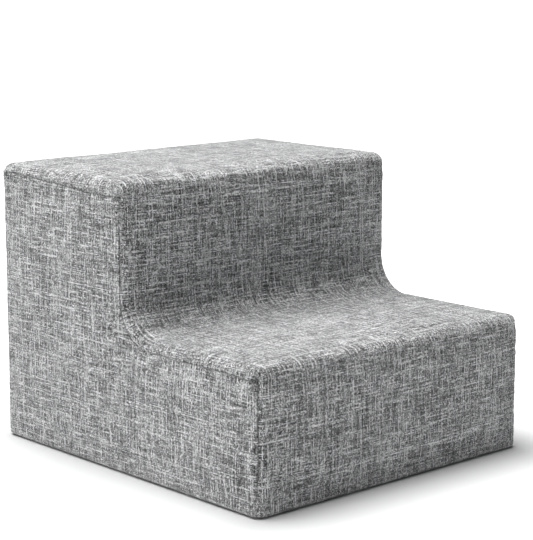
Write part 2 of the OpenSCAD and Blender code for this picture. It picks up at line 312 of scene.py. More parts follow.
class Skin:
    """The stair's rounded outer face, and the lines where its panels are sewn together."""

    COVE_PART = 3

    def __init__(self, sizes: StairSizes, plan: SeamPlan) -> None:
        """Keeps the sizes and draws the profile.

        Args:
            sizes: The stair's sizes.
            plan: The seams' places.
        """
        self.sizes = sizes
        self.plan = plan
        self.profile, self.along, self.part = self._profile(PROFILE_STEP)

    def _profile(self, step: float) -> tuple[Array, Array, Array]:
        """Side view of the outer face, from the base seam under the front to the seam on the back.

        Args:
            step: Largest distance between points.

        Returns:
            The points as (y, z), the distance along to each, and which of eight stretches each is on.
        """
        s = self.sizes
        stretches = [
            self._line((s.front, s.hem_height), (s.front, s.z_tread), step),
            self._arc((s.y_front, s.z_tread), s.edge, HALF_TURN, QUARTER_TURN, step),
            self._line((s.y_front, s.lower_top), (s.cove_y, s.lower_top), step),
            self._arc((s.cove_y, s.cove_z), s.cove, -QUARTER_TURN, 0.0, step),
            self._line((s.riser, s.cove_z), (s.riser, s.z_top), step),
            self._arc((s.y_riser, s.z_top), s.edge, HALF_TURN, QUARTER_TURN, step),
            self._line((s.y_riser, s.top), (s.y_back, s.top), step),
            self._arc((s.y_back, s.z_top), s.edge, QUARTER_TURN, 0.0, step),
        ]
        points = [stretches[0][:1]] + [stretch[1:] for stretch in stretches]
        parts = [[0]] + [[k] * (len(stretch) - 1) for k, stretch in enumerate(stretches)]
        path = np.concatenate(points)
        along = run_along(path)
        return path, along, np.concatenate(parts)

    @staticmethod
    def _line(start: Sequence[float], end: Sequence[float], step: float) -> Array:
        """Evenly spaced points from start to end."""
        count = max(2, int(math.ceil(math.dist(start, end) / step)) + 1)
        return np.linspace(start, end, count)

    @staticmethod
    def _arc(centre: Sequence[float], radius: float, first: float, last: float, step: float) -> Array:
        """Evenly spaced points round an arc from the first angle to the last."""
        count = max(5, int(math.ceil(radius * abs(last - first) / step)) + 1)
        turn = np.linspace(first, last, count)
        return np.stack([centre[0] + radius * np.cos(turn), centre[1] + radius * np.sin(turn)], axis=1)

    def core(self, points: Array) -> Array:
        """Nearest points of the square-edged core that lies one edge radius inside the skin.

        Args:
            points: Points at or near the skin, one row each.

        Returns:
            The core's points, one row each.
        """
        s = self.sizes
        x, y, z = points.T
        lower = np.stack([np.clip(y, s.y_front, s.y_back), np.minimum(z, s.z_tread)], axis=1)
        upper = np.stack([np.clip(y, s.y_riser, s.y_back), np.minimum(z, s.z_top)], axis=1)
        flat = np.stack([y, z], axis=1)
        far_lower = np.linalg.norm(flat - lower, axis=1)
        far_upper = np.linalg.norm(flat - upper, axis=1)
        near = np.where((far_lower < far_upper)[:, None], lower, upper)
        centre = np.array([s.cove_y, s.cove_z])
        out = flat - centre
        reach = np.maximum(np.linalg.norm(out, axis=1), TINY)
        ring = s.cove + s.edge
        hollow = (y > s.cove_y) & (y < s.y_riser) & (z > s.z_tread) & (z < s.cove_z)
        on_ring = centre + out * (np.maximum(ring, reach) / reach)[:, None]
        near = np.where(hollow[:, None], on_ring, near)
        return np.column_stack([np.clip(x, -s.x_in, s.x_in), near])

    def side_reach(self, side_view: Array) -> Array:
        """How far out the skin lies at points of the side view.

        Args:
            side_view: Points as (y, z).

        Returns:
            Distance from the middle of the stair, for each point.
        """
        s = self.sizes
        flat = np.column_stack([np.zeros(len(side_view)), side_view])
        depth = np.linalg.norm(flat - self.core(flat), axis=1)
        return s.x_in + np.sqrt(np.maximum(s.edge**2 - depth**2, 0.0))

    def tuck_under(self, points: Array) -> tuple[Array, Array]:
        """Rolls the foot of the walls under the base, and finds the outward direction everywhere.

        Args:
            points: Points on the skin, its walls carried straight down below the base.

        Returns:
            The points in place, and their outward directions.
        """
        s = self.sizes
        out = unit(points - self.core(points))
        plan = unit(out * [1.0, 1.0, 0.0])
        drop = np.maximum(s.roll_top - points[:, 2], 0.0)
        turn = np.minimum(drop / s.base_roll, QUARTER_TURN)
        inset = s.base_roll * (1 - np.cos(turn)) + np.maximum(drop - s.base_roll * QUARTER_TURN, 0.0)
        placed = points - plan * inset[:, None]
        placed[:, 2] = np.where(drop > 0, s.roll_top - s.base_roll * np.sin(turn), points[:, 2])
        down = np.array([0.0, 0.0, -1.0])
        outward = out * np.cos(turn)[:, None] + down * np.sin(turn)[:, None]
        return placed, outward

    def seam(self, side: int) -> Array:
        """The side seam in side view, one point for each point of the profile.

        Args:
            side: 1 for the right seam and -1 for the left one.

        Returns:
            The seam's points as (y, z).
        """
        s, p = self.sizes, self.plan
        y, z = self.profile.T
        short, long = p.wander_length / 2, p.wander_length * 2
        waves = smooth_noise(len(y), PROFILE_STEP, short, long, SEAM_SEED + side)
        wander = p.wander * waves * ease(z, s.base + p.calm_low, s.base + p.calm_high)
        front_depth = p.front_high + (p.front_low - p.front_high) * ease(-z, -s.z_tread, -p.front_fade)
        front_depth += (s.edge - front_depth) * ease(-z, -p.foot_fade, -s.roll_top)
        lower = np.stack([
            soft_max(y, s.front + front_depth + wander, p.corner),
            soft_min(z, s.lower_top - p.tread + wander, p.corner),
        ], axis=1)
        turn = ease(z, s.lower_top, s.cove_z)
        depth = p.tread + (p.riser - p.tread) * turn - wander
        centre = np.array([s.cove_y, s.cove_z])
        cove = centre + unit(self.profile - centre) * (s.cove + depth)[:, None]
        share = ease(y, s.riser, s.y_back)
        top_depth = p.top_front + (p.top_back - p.top_front) * share - wander
        upper = np.stack([
            soft_min(soft_max(y, s.riser + p.riser - wander, p.corner), s.y_back, p.corner),
            soft_min(z, s.top - top_depth, p.corner),
        ], axis=1)
        past_tread = np.where((self.part == self.COVE_PART)[:, None], cove, upper)
        return np.where((self.part < self.COVE_PART)[:, None], lower, past_tread)


# ---- Cut panels and closed cloth ----


@dataclass
class Cut:
    """One panel's outer face before it settles."""

    points: Array
    outward: Array
    threads: Array
    faces: Array

    @classmethod
    def from_grid(cls, points: Array, outward: Array, threads: Array, keep: Optional[Array] = None) -> "Cut":
        """Makes a panel from rows and columns of points.

        Args:
            points: Rows by columns by 3.
            outward: Outward directions, in the same layout.
            threads: Places along the cloth's threads, rows by columns by 2.
            keep: Which cells stay, or None for all.

        Returns:
            The panel.
        """
        cells = grid_cells(*points.shape[:2])
        faces = cells.reshape(-1, 4) if keep is None else cells[keep]
        return cls(points.reshape(-1, 3), outward.reshape(-1, 3), threads.reshape(-1, 2), faces).tidied()

    def tidied(self) -> "Cut":
        """The panel with shared points welded, unused ones left out and its faces turned outward."""
        near = np.round(self.points / WELD).astype(np.int64)
        _, first, where = np.unique(near, axis=0, return_index=True, return_inverse=True)
        faces = where.reshape(-1)[self.faces]
        used, faces = np.unique(faces, return_inverse=True)
        faces = faces.reshape(-1, 4)
        pick = first[used]
        points, outward = self.points[pick], self.outward[pick]
        across = points[faces[:, 2]] - points[faces[:, 0]]
        along = points[faces[:, 3]] - points[faces[:, 1]]
        facing = np.einsum("ij,ij->i", np.cross(across, along), outward[faces].sum(axis=1))
        faces = np.where((facing < 0)[:, None], faces[:, ::-1], faces)
        return Cut(points, outward, self.threads[pick], faces)

    def joined(self, other: "Cut") -> "Cut":
        """This panel and another as one, welded where they meet."""
        return Cut(
            np.concatenate([self.points, other.points]),
            np.concatenate([self.outward, other.outward]),
            np.concatenate([self.threads, other.threads]),
            np.concatenate([self.faces, other.faces + len(self.points)]),
        ).tidied()


def free_edges(faces: Array) -> Array:
    """Edges that only one face has, each in that face's own order.

    Args:
        faces: Faces of four corners.

    Returns:
        The edges, two corners to a row.
    """
    edges = np.concatenate([faces[:, [k, (k + 1) % 4]] for k in range(4)])
    edges = edges[edges[:, 0] != edges[:, 1]]
    ends = np.sort(edges, axis=1)
    _, where, count = np.unique(ends, axis=0, return_inverse=True, return_counts=True)
    return edges[count[where.reshape(-1)] == 1]


def in_scene(name: str, data: bpy.types.ID) -> Object:
    """Puts a new object in the scene.

    Args:
        name: Its name.
        data: Its mesh, lamp or camera.

    Returns:
        The object.
    """
    made = bpy.data.objects.new(name, data)
    bpy.context.scene.collection.objects.link(made)
    return made


def add_object(name: str, points: Array, faces: Sequence[Sequence[int]]) -> Object:
    """Makes a smoothly shaded mesh object.

    Args:
        name: The piece's name.
        points: Points, one row each.
        faces: Faces as lists of corners.

    Returns:
        The object, already in the scene.
    """
    mesh = bpy.data.meshes.new(name)
    mesh.from_pydata(points.tolist(), [], [list(dict.fromkeys(map(int, face))) for face in faces])
    mesh.update()
    mesh.polygons.foreach_set("use_smooth", [True] * len(mesh.polygons))
    return in_scene(name, mesh)


def add_map(made: Object, name: str, places: Array) -> None:
    """Gives an object a map from one place for each face corner."""
    layer = made.data.uv_layers.new(name=name, do_init=False)
    layer.uv.foreach_set("vector", places.astype(np.float32).ravel())


def corner_points(made: Object) -> Array:
    """The point that each face corner of an object uses."""
    corners = np.empty(len(made.data.loops), dtype=np.int64)
    made.data.loops.foreach_get("vertex_index", corners)
    return corners


def mesh_points(body: Object, evaluated: bool = False) -> Array:
    """An object's points, with or without its modifiers."""
    shown = body.evaluated_get(bpy.context.evaluated_depsgraph_get()) if evaluated else body
    found = np.empty(len(shown.data.vertices) * 3)
    shown.data.vertices.foreach_get("co", found)
    return found.reshape(-1, 3)


def fixed(made: Object, node: str) -> Object:
    """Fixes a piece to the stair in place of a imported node.

    Args:
        made: The piece.
        node: The node that it stands for.

    Returns:
        The piece.
    """
    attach(made, "stair")
    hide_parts(node)
    return made


def add_values(made: Object, name: str, values: Array) -> None:
    """Stores one number per point on an object, for its finish to read."""
    layer = made.data.attributes.new(name, "FLOAT", "POINT")
    layer.data.foreach_set("value", values.astype(np.float32))


class BakeLayout(Enum):
    """Bands of a piece's own map: its outer face, its inner face and its cut edges."""

    OUTER = (0.01, 0.84)
    INNER = (0.86, 0.96)
    EDGES = (0.975, 0.99)

    def place(self, share: Array) -> Array:
        """Heights in this band for shares from 0 to 1."""
        low, high = self.value
        return low + (high - low) * share


def close_cloth(name: str, cut: Cut, points: Array, outward: Array, thickness: float, near: Array) -> Object:
    """Makes a closed sheet of cloth from its settled outer face.

    Args:
        name: The piece's name.
        cut: The panel.
        points: Its outer points in their settled places.
        outward: Its outward directions.
        thickness: Thickness of the cloth.
        near: Distance from each point to the nearest seam.

    Returns:
        The sheet.
    """
    count = len(points)
    edges = free_edges(cut.faces)
    rim = np.column_stack([edges[:, 1], edges[:, 0], edges[:, 0] + count, edges[:, 1] + count])
    faces = np.concatenate([cut.faces, cut.faces[:, ::-1] + count, rim])
    made = add_object(name, np.concatenate([points, points - outward * thickness]), faces)
    corners = corner_points(made)
    threads = np.concatenate([cut.threads, cut.threads])
    add_map(made, "Threads", threads[corners])
    low, high = cut.threads.min(axis=0), cut.threads.max(axis=0)
    share = (threads - low) / (high - low)
    bake = np.empty((len(corners), 2))
    bake[:, 0] = BAKE_MARGIN + BAKE_WIDTH * share[corners, 0]
    inner = corners >= count
    bake[:, 1] = np.where(
        inner, BakeLayout.INNER.place(share[corners, 1]), BakeLayout.OUTER.place(share[corners, 1])
    )
    first = len(corners) - 4 * len(rim)
    step = np.arange(len(rim))[:, None] / len(rim)
    bake[first:, 0] = (BAKE_MARGIN + BAKE_WIDTH * (step + np.array([[0, 1, 1, 0]]) / len(rim))).ravel()
    bake[first:, 1] = np.tile(BakeLayout.EDGES.place(np.array([0.0, 0.0, 1.0, 1.0])), len(rim))
    add_map(made, "OFBake", bake)
    add_values(made, "seam_distance", np.concatenate([near, near]))
    return made


# ---- How the cover settles over the foam ----


@dataclass(frozen=True)
class SeamPull:
    """How hard the seams draw the cloth in, in metres."""

    groove: float = 0.75 * MM
    groove_width: float = 1.7 * MM
    pucker: float = 0.36 * MM
    pucker_reach: float = 9 * MM
    dimple: float = 2.6 * MM
    dimple_reach: float = 4.5 * MM
    pleat: float = 0.5 * MM
    pleat_reach: float = 13 * MM
    pleats: int = 11
    slack: float = 0.32 * MM
    slack_length: float = 75 * MM
    slack_reach: float = 30 * MM
    swell_reach: float = 14 * MM
    pucker_short: float = 3.2 * MM
    pucker_long: float = 9 * MM
    gather: float = 1.6
    gather_reach: float = 20 * MM
    foot_low: float = 4 * MM
    foot_high: float = 28 * MM
    foot_groove: float = 0.25


class Cover:
    """Where the cover lies: its seams, and how far it swells, dips and puckers between them."""

    def __init__(self, skin: Skin, pull: SeamPull, spacing: float = 1 * MM) -> None:
        """Lays out the seams and their puckers.

        Args:
            skin: The outer skin.
            pull: How hard the seams draw the cloth in.
            spacing: Distance between the points that stand for a seam.
        """
        self.skin = skin
        self.pull = pull
        self.swell: Optional[kdtree.KDTree] = None
        self.swell_by: Optional[Array] = None
        self.seams = {name: resample(path, spacing) for name, path in self._seam_lines().items()}
        draws = [smooth_noise(len(path), spacing, pull.pucker_short, pull.pucker_long, PUCKER_SEED + k)
                 for k, path in enumerate(self.seams.values())]
        self.puckers = np.concatenate(draws)
        self.tree = tree_of(np.concatenate([path[:, :3] for path in self.seams.values()]))
        self.corners, self.facing = self._corners()

    def side_seam(self, side: int) -> Array:
        """The seam between a side panel and the tread strip, from the base corner to the back.

        Args:
            side: 1 for right and -1 for left.

        Returns:
            Points on the skin, each with its outward direction after it.
        """
        s = self.skin.sizes
        flat = self.skin.seam(side)
        walls = np.column_stack([side * self.skin.side_reach(flat), flat])
        end = walls[-1]
        turn = np.linspace(0, QUARTER_TURN, 9)[1:]
        height = end[2] + (s.z_top - end[2]) * ease(turn, 0, QUARTER_TURN)
        radius = np.sqrt(np.maximum(s.edge**2 - np.maximum(height - s.z_top, 0) ** 2, 0))
        round_back = np.column_stack([
            side * (s.x_in + radius * np.cos(turn)), s.y_back + radius * np.sin(turn), height
        ])
        return np.hstack(self.skin.tuck_under(np.concatenate([walls, round_back])))

    def _seam_lines(self) -> dict[str, Array]:
        """Every seam of the cover by the name of its thread, as points with their outward directions."""
        s = self.skin.sizes
        up = np.linspace(s.hem_height, s.z_top, 160)
        post = np.column_stack([np.full_like(up, s.x_in), np.full_like(up, s.back), up])
        right = np.hstack(self.skin.tuck_under(post))
        left = right * [-1, 1, 1, -1, 1, 1]
        corners = [[s.x_in, s.y_front], [s.x_in, s.y_back], [-s.x_in, s.y_back], [-s.x_in, s.y_front]]
        down = np.tile([s.base, 0.0, 0.0, -1.0], (5, 1))
        hoop = np.column_stack([np.array(corners + corners[:1]), down])
        return {
            "left": self.side_seam(-1),
            "right": self.side_seam(1),
            "back": np.concatenate([right, left[::-1]]),
            "base": hoop,
        }

    def _corners(self) -> tuple[Array, Array]:
        """Points where three panels meet, or a seam turns a corner, and the way each faces."""
        s = self.skin.sizes
        found = []
        for path in (self.seams["left"], self.seams["right"]):
            for y, z in ((s.front, s.lower_top), (s.riser, s.top), (s.back, s.top)):
                gap = np.hypot(path[:, 1] - y, path[:, 2] - z)
                found.append(path[int(np.argmin(gap))])
        made = np.array(found)
        return made[:, :3], made[:, 3:]

    def _pleating(self, points: Array) -> Array:
        """Small pleats that fan out from each corner, at each point."""
        p = self.pull
        made = np.zeros(len(points))
        for corner, facing in zip(self.corners, self.facing):
            across = np.cross(facing, [0.0, 0.0, 1.0])
            across /= np.linalg.norm(across)
            up = np.cross(across, facing)
            away = points - corner
            reach = np.linalg.norm(away, axis=1)
            turn = np.arctan2(away @ up, away @ across)
            fan = np.exp(-((reach / p.pleat_reach) ** 2)) * ease(reach, 0, p.dimple_reach)
            made += p.pleat * fan * np.cos(p.pleats * turn)
        return made

    def near_seam(self, points: Array) -> tuple[Array, Array]:
        """Distance to the nearest seam, and the pucker there, for each point."""
        found = [self.tree.find(point) for point in points]
        gap = np.array([hit[2] for hit in found])
        return gap, self.puckers[[hit[1] for hit in found]]

    def rise(self, points: Array) -> tuple[Array, Array]:
        """How far the cloth stands out of the skin at each point, and its distance from a seam.

        Args:
            points: Points on the skin.

        Returns:
            The rise, negative where the cloth dips, and the distance to the nearest seam.
        """
        s, p = self.skin.sizes, self.pull
        gap, pucker = self.near_seam(points)
        clear = ease(points[:, 2], s.base + p.foot_low, s.base + p.foot_high)
        corner_gap = np.min(np.linalg.norm(points[:, None] - self.corners[None], axis=2), axis=1)
        gather = 1 + p.gather * np.exp(-((corner_gap / p.gather_reach) ** 2))
        rise = self._swelling(points) * (1 - np.exp(-gap / p.swell_reach))
        rise += p.slack * rolling_waves(points, p.slack_length, SLACK_SEED) * ease(gap, 0, p.slack_reach)
        rise += p.pucker * pucker * gather * np.exp(-gap / p.pucker_reach)
        rise -= p.dimple * np.exp(-((corner_gap / p.dimple_reach) ** 2))
        rise += self._pleating(points)
        rise *= clear
        foot = p.foot_groove + (1 - p.foot_groove) * clear
        rise -= p.groove * np.exp(-((gap / p.groove_width) ** 2)) * foot
        return rise * self.calm(points), gap

    def calm(self, points: Array) -> Array:
        """0 over the zip, where the cloth is held flat, and 1 away from it."""
        s = self.skin.sizes
        low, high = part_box("zip_tape_upper")
        height = zip_height()
        above = ease(np.abs(points[:, 2] - height), high[2] - height - 2 * MM, high[2] - height + 20 * MM)
        behind = ease(points[:, 1], s.y_back, s.back - 1 * MM)
        beyond = ease(np.abs(points[:, 0]), high[0] - 1 * MM, s.x_in)
        return 1 - behind * (1 - above) * (1 - beyond)

    def _swelling(self, points: Array) -> Array:
        """How far the stuffed cover swells, from the inflated skin if there is one."""
        if self.swell is None:
            return self._plain_swelling(points)
        made = np.zeros(len(points))
        for k, point in enumerate(points):
            hits = self.swell.find_n(point, 6)
            weight = np.array([1 / (hit[2] + 1 * MM) ** 2 for hit in hits])
            made[k] = float(weight @ self.swell_by[[hit[1] for hit in hits]]) / float(weight.sum())
        return made

    def _plain_swelling(self, points: Array) -> Array:
        s = self.skin.sizes
        x, y, z = points.T
        up = ease(z, s.z_top, s.top) * ease(y, s.y_riser, 60 * MM) * ease(-y, -s.y_back, -150 * MM)
        low = ease(z, s.z_tread, s.lower_top) * ease(-z, -s.cove_z, -s.lower_top)
        low *= ease(y, s.y_front, s.y_front + 60 * MM) * ease(-y, -s.cove_y, 60 * MM - s.cove_y)
        middle = 1 - (x / s.half_width) ** 2
        side = ease(np.abs(x), s.x_in, s.half_width)
        return 1.8 * MM * (up + low) * np.clip(middle, 0, 1) * (1 - side) + 0.8 * MM * side

    def settle(self, cut: Cut) -> tuple[Array, Array, Array]:
        """A panel's outer points where they come to lie."""
        rise, gap = self.rise(cut.points)
        return cut.points + cut.outward * rise[:, None], cut.outward, gap


# ---- Sewn panels ----


class Named(Enum):
    """Choices whose names go into the names of pieces."""

    @property
    def word(self) -> str:
        """The choice's name in lower case."""
        return self.name.lower()


class Side(Named):
    """The two sides of the stair, facing the same way as it does."""

    LEFT = -1
    RIGHT = 1


@dataclass
class Panel:
    """A panel of the cover's own weave."""

    cover: Cover

    def sew(self, name: str, cut: Cut, node: str, area: Optional[float] = None) -> Object:
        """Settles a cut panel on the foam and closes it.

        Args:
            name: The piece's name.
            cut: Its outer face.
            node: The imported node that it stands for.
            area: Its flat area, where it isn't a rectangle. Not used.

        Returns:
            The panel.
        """
        points, outward, near = self.cover.settle(cut)
        made = close_cloth(name, cut, points, outward, self.cover.skin.sizes.cloth, near)
        size = np.ptp(cut.threads, axis=0)
        fixed(made, node)
        return made


@dataclass
class TreadStrip(Panel):
    """The long panel that runs up the front, over both treads and the riser, and over the back edge."""

    fine: float = 3 * MM
    coarse: float = 4.5 * MM
    edge_steps: int = 11

    def cut(self) -> Cut:
        """The strip's outer face."""
        skin, s = self.cover.skin, self.cover.skin.sizes
        flat = graded(-s.x_in, s.x_in, self.fine, self.coarse)
        rows = len(skin.profile)
        middle = np.empty((rows, len(flat), 3))
        middle[..., 0] = flat
        middle[..., 1:] = skin.profile[:, None]
        threads = np.stack(np.broadcast_arrays(flat[None], skin.along[:, None]), axis=-1)
        left, left_threads = self._edge(-1)
        right, right_threads = self._edge(1)
        points = np.concatenate([left[:, ::-1], middle, right], axis=1)
        threads = np.concatenate([left_threads[:, ::-1], threads, right_threads], axis=1)
        placed, outward = skin.tuck_under(points.reshape(-1, 3))
        return Cut.from_grid(placed.reshape(points.shape), outward.reshape(points.shape), threads)

    def _edge(self, side: int) -> tuple[Array, Array]:
        """The strip's border on one side, from the rounded edge to the seam.

        Args:
            side: 1 for right and -1 for left.

        Returns:
            Points and thread places, rows by steps.
        """
        skin, s = self.cover.skin, self.cover.skin.sizes
        seam = skin.seam(side)
        reach = np.linalg.norm(seam - skin.profile, axis=1)
        round_part = s.edge * np.arccos(np.clip(1 - reach / s.edge, 0.0, 1.0))
        length = round_part + np.maximum(reach - s.edge, 0.0)
        share = 1 - (1 - np.linspace(0, 1, self.edge_steps + 1)[1:]) ** 1.25
        along = length[:, None] * share
        depth = np.where(
            along < s.edge * QUARTER_TURN,
            s.edge * (1 - np.cos(np.minimum(along / s.edge, QUARTER_TURN))),
            along - s.edge * QUARTER_TURN + s.edge,
        )
        part = np.clip(depth / reach[:, None], 0.0, 1.0)[..., None]
        flat = skin.profile[:, None] * (1 - part) + seam[:, None] * part
        out = skin.side_reach(flat.reshape(-1, 2)).reshape(flat.shape[:2])
        points = np.concatenate([side * out[..., None], flat], axis=2)
        across = np.broadcast_to(side * (s.x_in + along), out.shape)
        up = np.broadcast_to(skin.along[:, None], out.shape)
        return points, np.stack([across, up], axis=-1)

    def build(self) -> Object:
        """Makes the strip."""
        return self.sew("tread_strip_cloth", self.cut(), "cover_tread_strip")


@dataclass
class SidePanel(Panel):
    """An L-shaped side panel that turns under the base and round the back edge.

    The runs are the rough lengths of its front and back columns and of its low and high rows.
    """

    side: Side
    fine: float = 1.3 * MM
    coarse: float = 4.2 * MM
    runs: tuple[float, ...] = (0.15, 0.26, 0.145, 0.155)

    def cut(self) -> Cut:
        """The panel's outer face, as a lower block and an upper one."""
        skin, s = self.cover.skin, self.cover.skin.sizes
        seam = skin.seam(self.side.value)
        far = s.y_back + s.edge * QUARTER_TURN
        low_turn, high_turn = self._turns(seam)
        cove_start = int(np.argmax(skin.part == skin.COVE_PART)) - 1
        corner = seam[cove_start]
        end = np.array([far, s.z_top])
        top = np.concatenate([seam[high_turn:], self._fall_to(seam[-1], end)])
        belt = np.array([corner, [far, corner[1]]])
        cols_front, cols_back, rows_low, rows_high = (
            graded(0, 1, self.fine / run, self.coarse / run) for run in self.runs
        )
        front_seam = seam[:low_turn + 1]
        front = self._fill(front_seam, self._upright(corner), self._floor(front_seam[0], corner),
                           seam[low_turn:cove_start + 1], cols_front, rows_low)
        back = self._fill(self._upright(corner), self._upright(belt[1]),
                          self._floor(corner, belt[1]), belt, cols_back, rows_low)
        rise = seam[cove_start:high_turn + 1]
        upper = self._fill(rise, np.array([belt[1], end]), belt, top, cols_back, rows_high)
        return front.joined(back).joined(upper)

    @staticmethod
    def _turns(seam: Array) -> tuple[int, int]:
        """Where the seam turns on to the lower tread and on to the upper one, as places in its list."""
        heading = unit(np.diff(seam, axis=0))
        rising = heading[:, 1] - np.abs(heading[:, 0])
        return int(np.argmax(rising < 0)), len(rising) - int(np.argmax(rising[::-1] > 0))

    @staticmethod
    def _fall_to(start: Array, end: Array) -> Array:
        """The top seam's run round the back edge."""
        share = np.linspace(0, 1, 9)[1:]
        return start + (end - start) * np.column_stack([share, ease(share, 0, 1)])

    def _upright(self, top: Array) -> Array:
        """A straight line up the panel from the base seam to a point."""
        return np.array([[top[0], self.cover.skin.sizes.hem_height], [top[0], top[1]]])

    def _floor(self, start: Array, end: Array) -> Array:
        """The base seam between two columns."""
        height = self.cover.skin.sizes.hem_height
        return np.array([[start[0], height], [end[0], height]])

    @staticmethod
    def _places(path: Array, shares: Array) -> Array:
        """Points along a path at shares of its length."""
        along = run_along(path)
        return np.stack([np.interp(shares * along[-1], along, path[:, k]) for k in range(2)], axis=1)

    def _fill(self, left: Array, right: Array, low: Array, high: Array, cols: Array, rows: Array) -> Cut:
        """Fills a four-sided patch of the unrolled panel with cells.

        Args:
            left: Its front edge, going up.
            right: Its back edge, going up.
            low: Its lower edge, going back.
            high: Its upper edge, going back.
            cols: Shares along the lower and upper edges.
            rows: Shares along the front and back edges.

        Returns:
            The patch.
        """
        a, b = self._places(left, rows)[:, None], self._places(right, rows)[:, None]
        c, d = self._places(low, cols)[None], self._places(high, cols)[None]
        u, v = cols[None, :, None], rows[:, None, None]
        flat = a * (1 - u) + b * u + c * (1 - v) + d * v
        flat -= (1 - u) * (1 - v) * low[0] + u * (1 - v) * low[-1] + (1 - u) * v * high[0] + u * v * high[-1]
        return self._wrap(flat)

    def _wrap(self, flat: Array) -> Cut:
        """Lays unrolled rows and columns on the skin."""
        skin, s = self.cover.skin, self.cover.skin.sizes
        y, z = flat.reshape(-1, 2).T
        turn = np.clip((y - s.y_back) / s.edge, 0.0, QUARTER_TURN)
        lift = np.maximum(z - s.z_top, 0.0)
        radius = np.sqrt(np.maximum(s.edge**2 - lift**2, 0.0))
        on_side = skin.side_reach(np.column_stack([np.minimum(y, s.y_back), z]))
        x = np.where(turn > 0, s.x_in + radius * np.cos(turn), on_side)
        y_placed = np.where(turn > 0, s.y_back + radius * np.sin(turn), y)
        points = np.column_stack([self.side.value * x, y_placed, z])
        placed, outward = skin.tuck_under(points)
        shape = flat.shape[:2] + (3,)
        return Cut.from_grid(placed.reshape(shape), outward.reshape(shape), flat)

    def build(self) -> Object:
        """Makes the panel."""
        cut = self.cut()
        corners = cut.threads[cut.faces]
        across = corners[:, 2] - corners[:, 0]
        along = corners[:, 3] - corners[:, 1]
        area = float(np.abs(across[:, 0] * along[:, 1] - across[:, 1] * along[:, 0]).sum() / 2)
        return self.sew(f"side_panel_cloth_{self.side.word}", cut, f"cover_side_{self.side.word}", area)


class BackPart(Named):
    """The two back pieces, above and below the zip."""

    PANEL = "cover_back_panel"
    HEM = "cover_back_hem"


@dataclass
class BackPanel(Panel):
    """A back panel with its half of the zip slot left open."""

    part: BackPart
    fine: float = 1.1 * MM
    coarse: float = 4.6 * MM
    slot_coarse: float = 3 * MM
    hem_coarse: float = 2.4 * MM
    slot_gap: float = 0.35 * MM
    lip_back: float = 2.5 * MM

    def cut(self) -> Cut:
        """The panel's outer face."""
        skin, s = self.cover.skin, self.cover.skin.sizes
        tack_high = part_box("zip_end_tacks")[1]
        slot_half = tack_high[0] + self.slot_gap
        middle = zip_height()
        lip = self._lip(middle)
        outer = graded(slot_half, s.x_in, self.fine, self.coarse)[1:]
        inner = graded(-slot_half, slot_half, self.fine, self.slot_coarse)
        across = np.concatenate([-outer[::-1], inner, outer])
        if self.part is BackPart.PANEL:
            wall = graded(lip, s.z_top, self.fine, self.coarse)
            up = np.concatenate([np.linspace(middle, lip, 5), wall[1:]])
        else:
            wall = graded(s.hem_height, lip, self.fine, self.hem_coarse)
            up = np.concatenate([wall, np.linspace(lip, middle, 5)[1:]])
        rows, cols = np.meshgrid(up, across, indexing="ij")
        points = np.stack([cols, np.full_like(cols, s.back), rows], axis=-1)
        placed, outward = skin.tuck_under(points.reshape(-1, 3))
        in_slot = np.abs(cols[:-1, :-1] + cols[1:, 1:]) / 2 < slot_half
        in_slot &= np.abs((rows[:-1, :-1] + rows[1:, 1:]) / 2 - middle) < abs(lip - middle)
        threads = np.stack([cols, rows], axis=-1)
        return Cut.from_grid(placed.reshape(points.shape), outward.reshape(points.shape), threads, ~in_slot)

    def _lip(self, middle: float) -> float:
        """Height of the folded lip beside the zip."""
        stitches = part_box("zip_stitches_upper")
        reach = (stitches[0][2] + stitches[1][2]) / 2 - middle - self.lip_back
        return middle + reach if self.part is BackPart.PANEL else middle - reach

    def build(self) -> Object:
        """Makes the panel."""
        return self.sew(f"back_{self.part.word}_cloth", self.cut(), self.part.value)


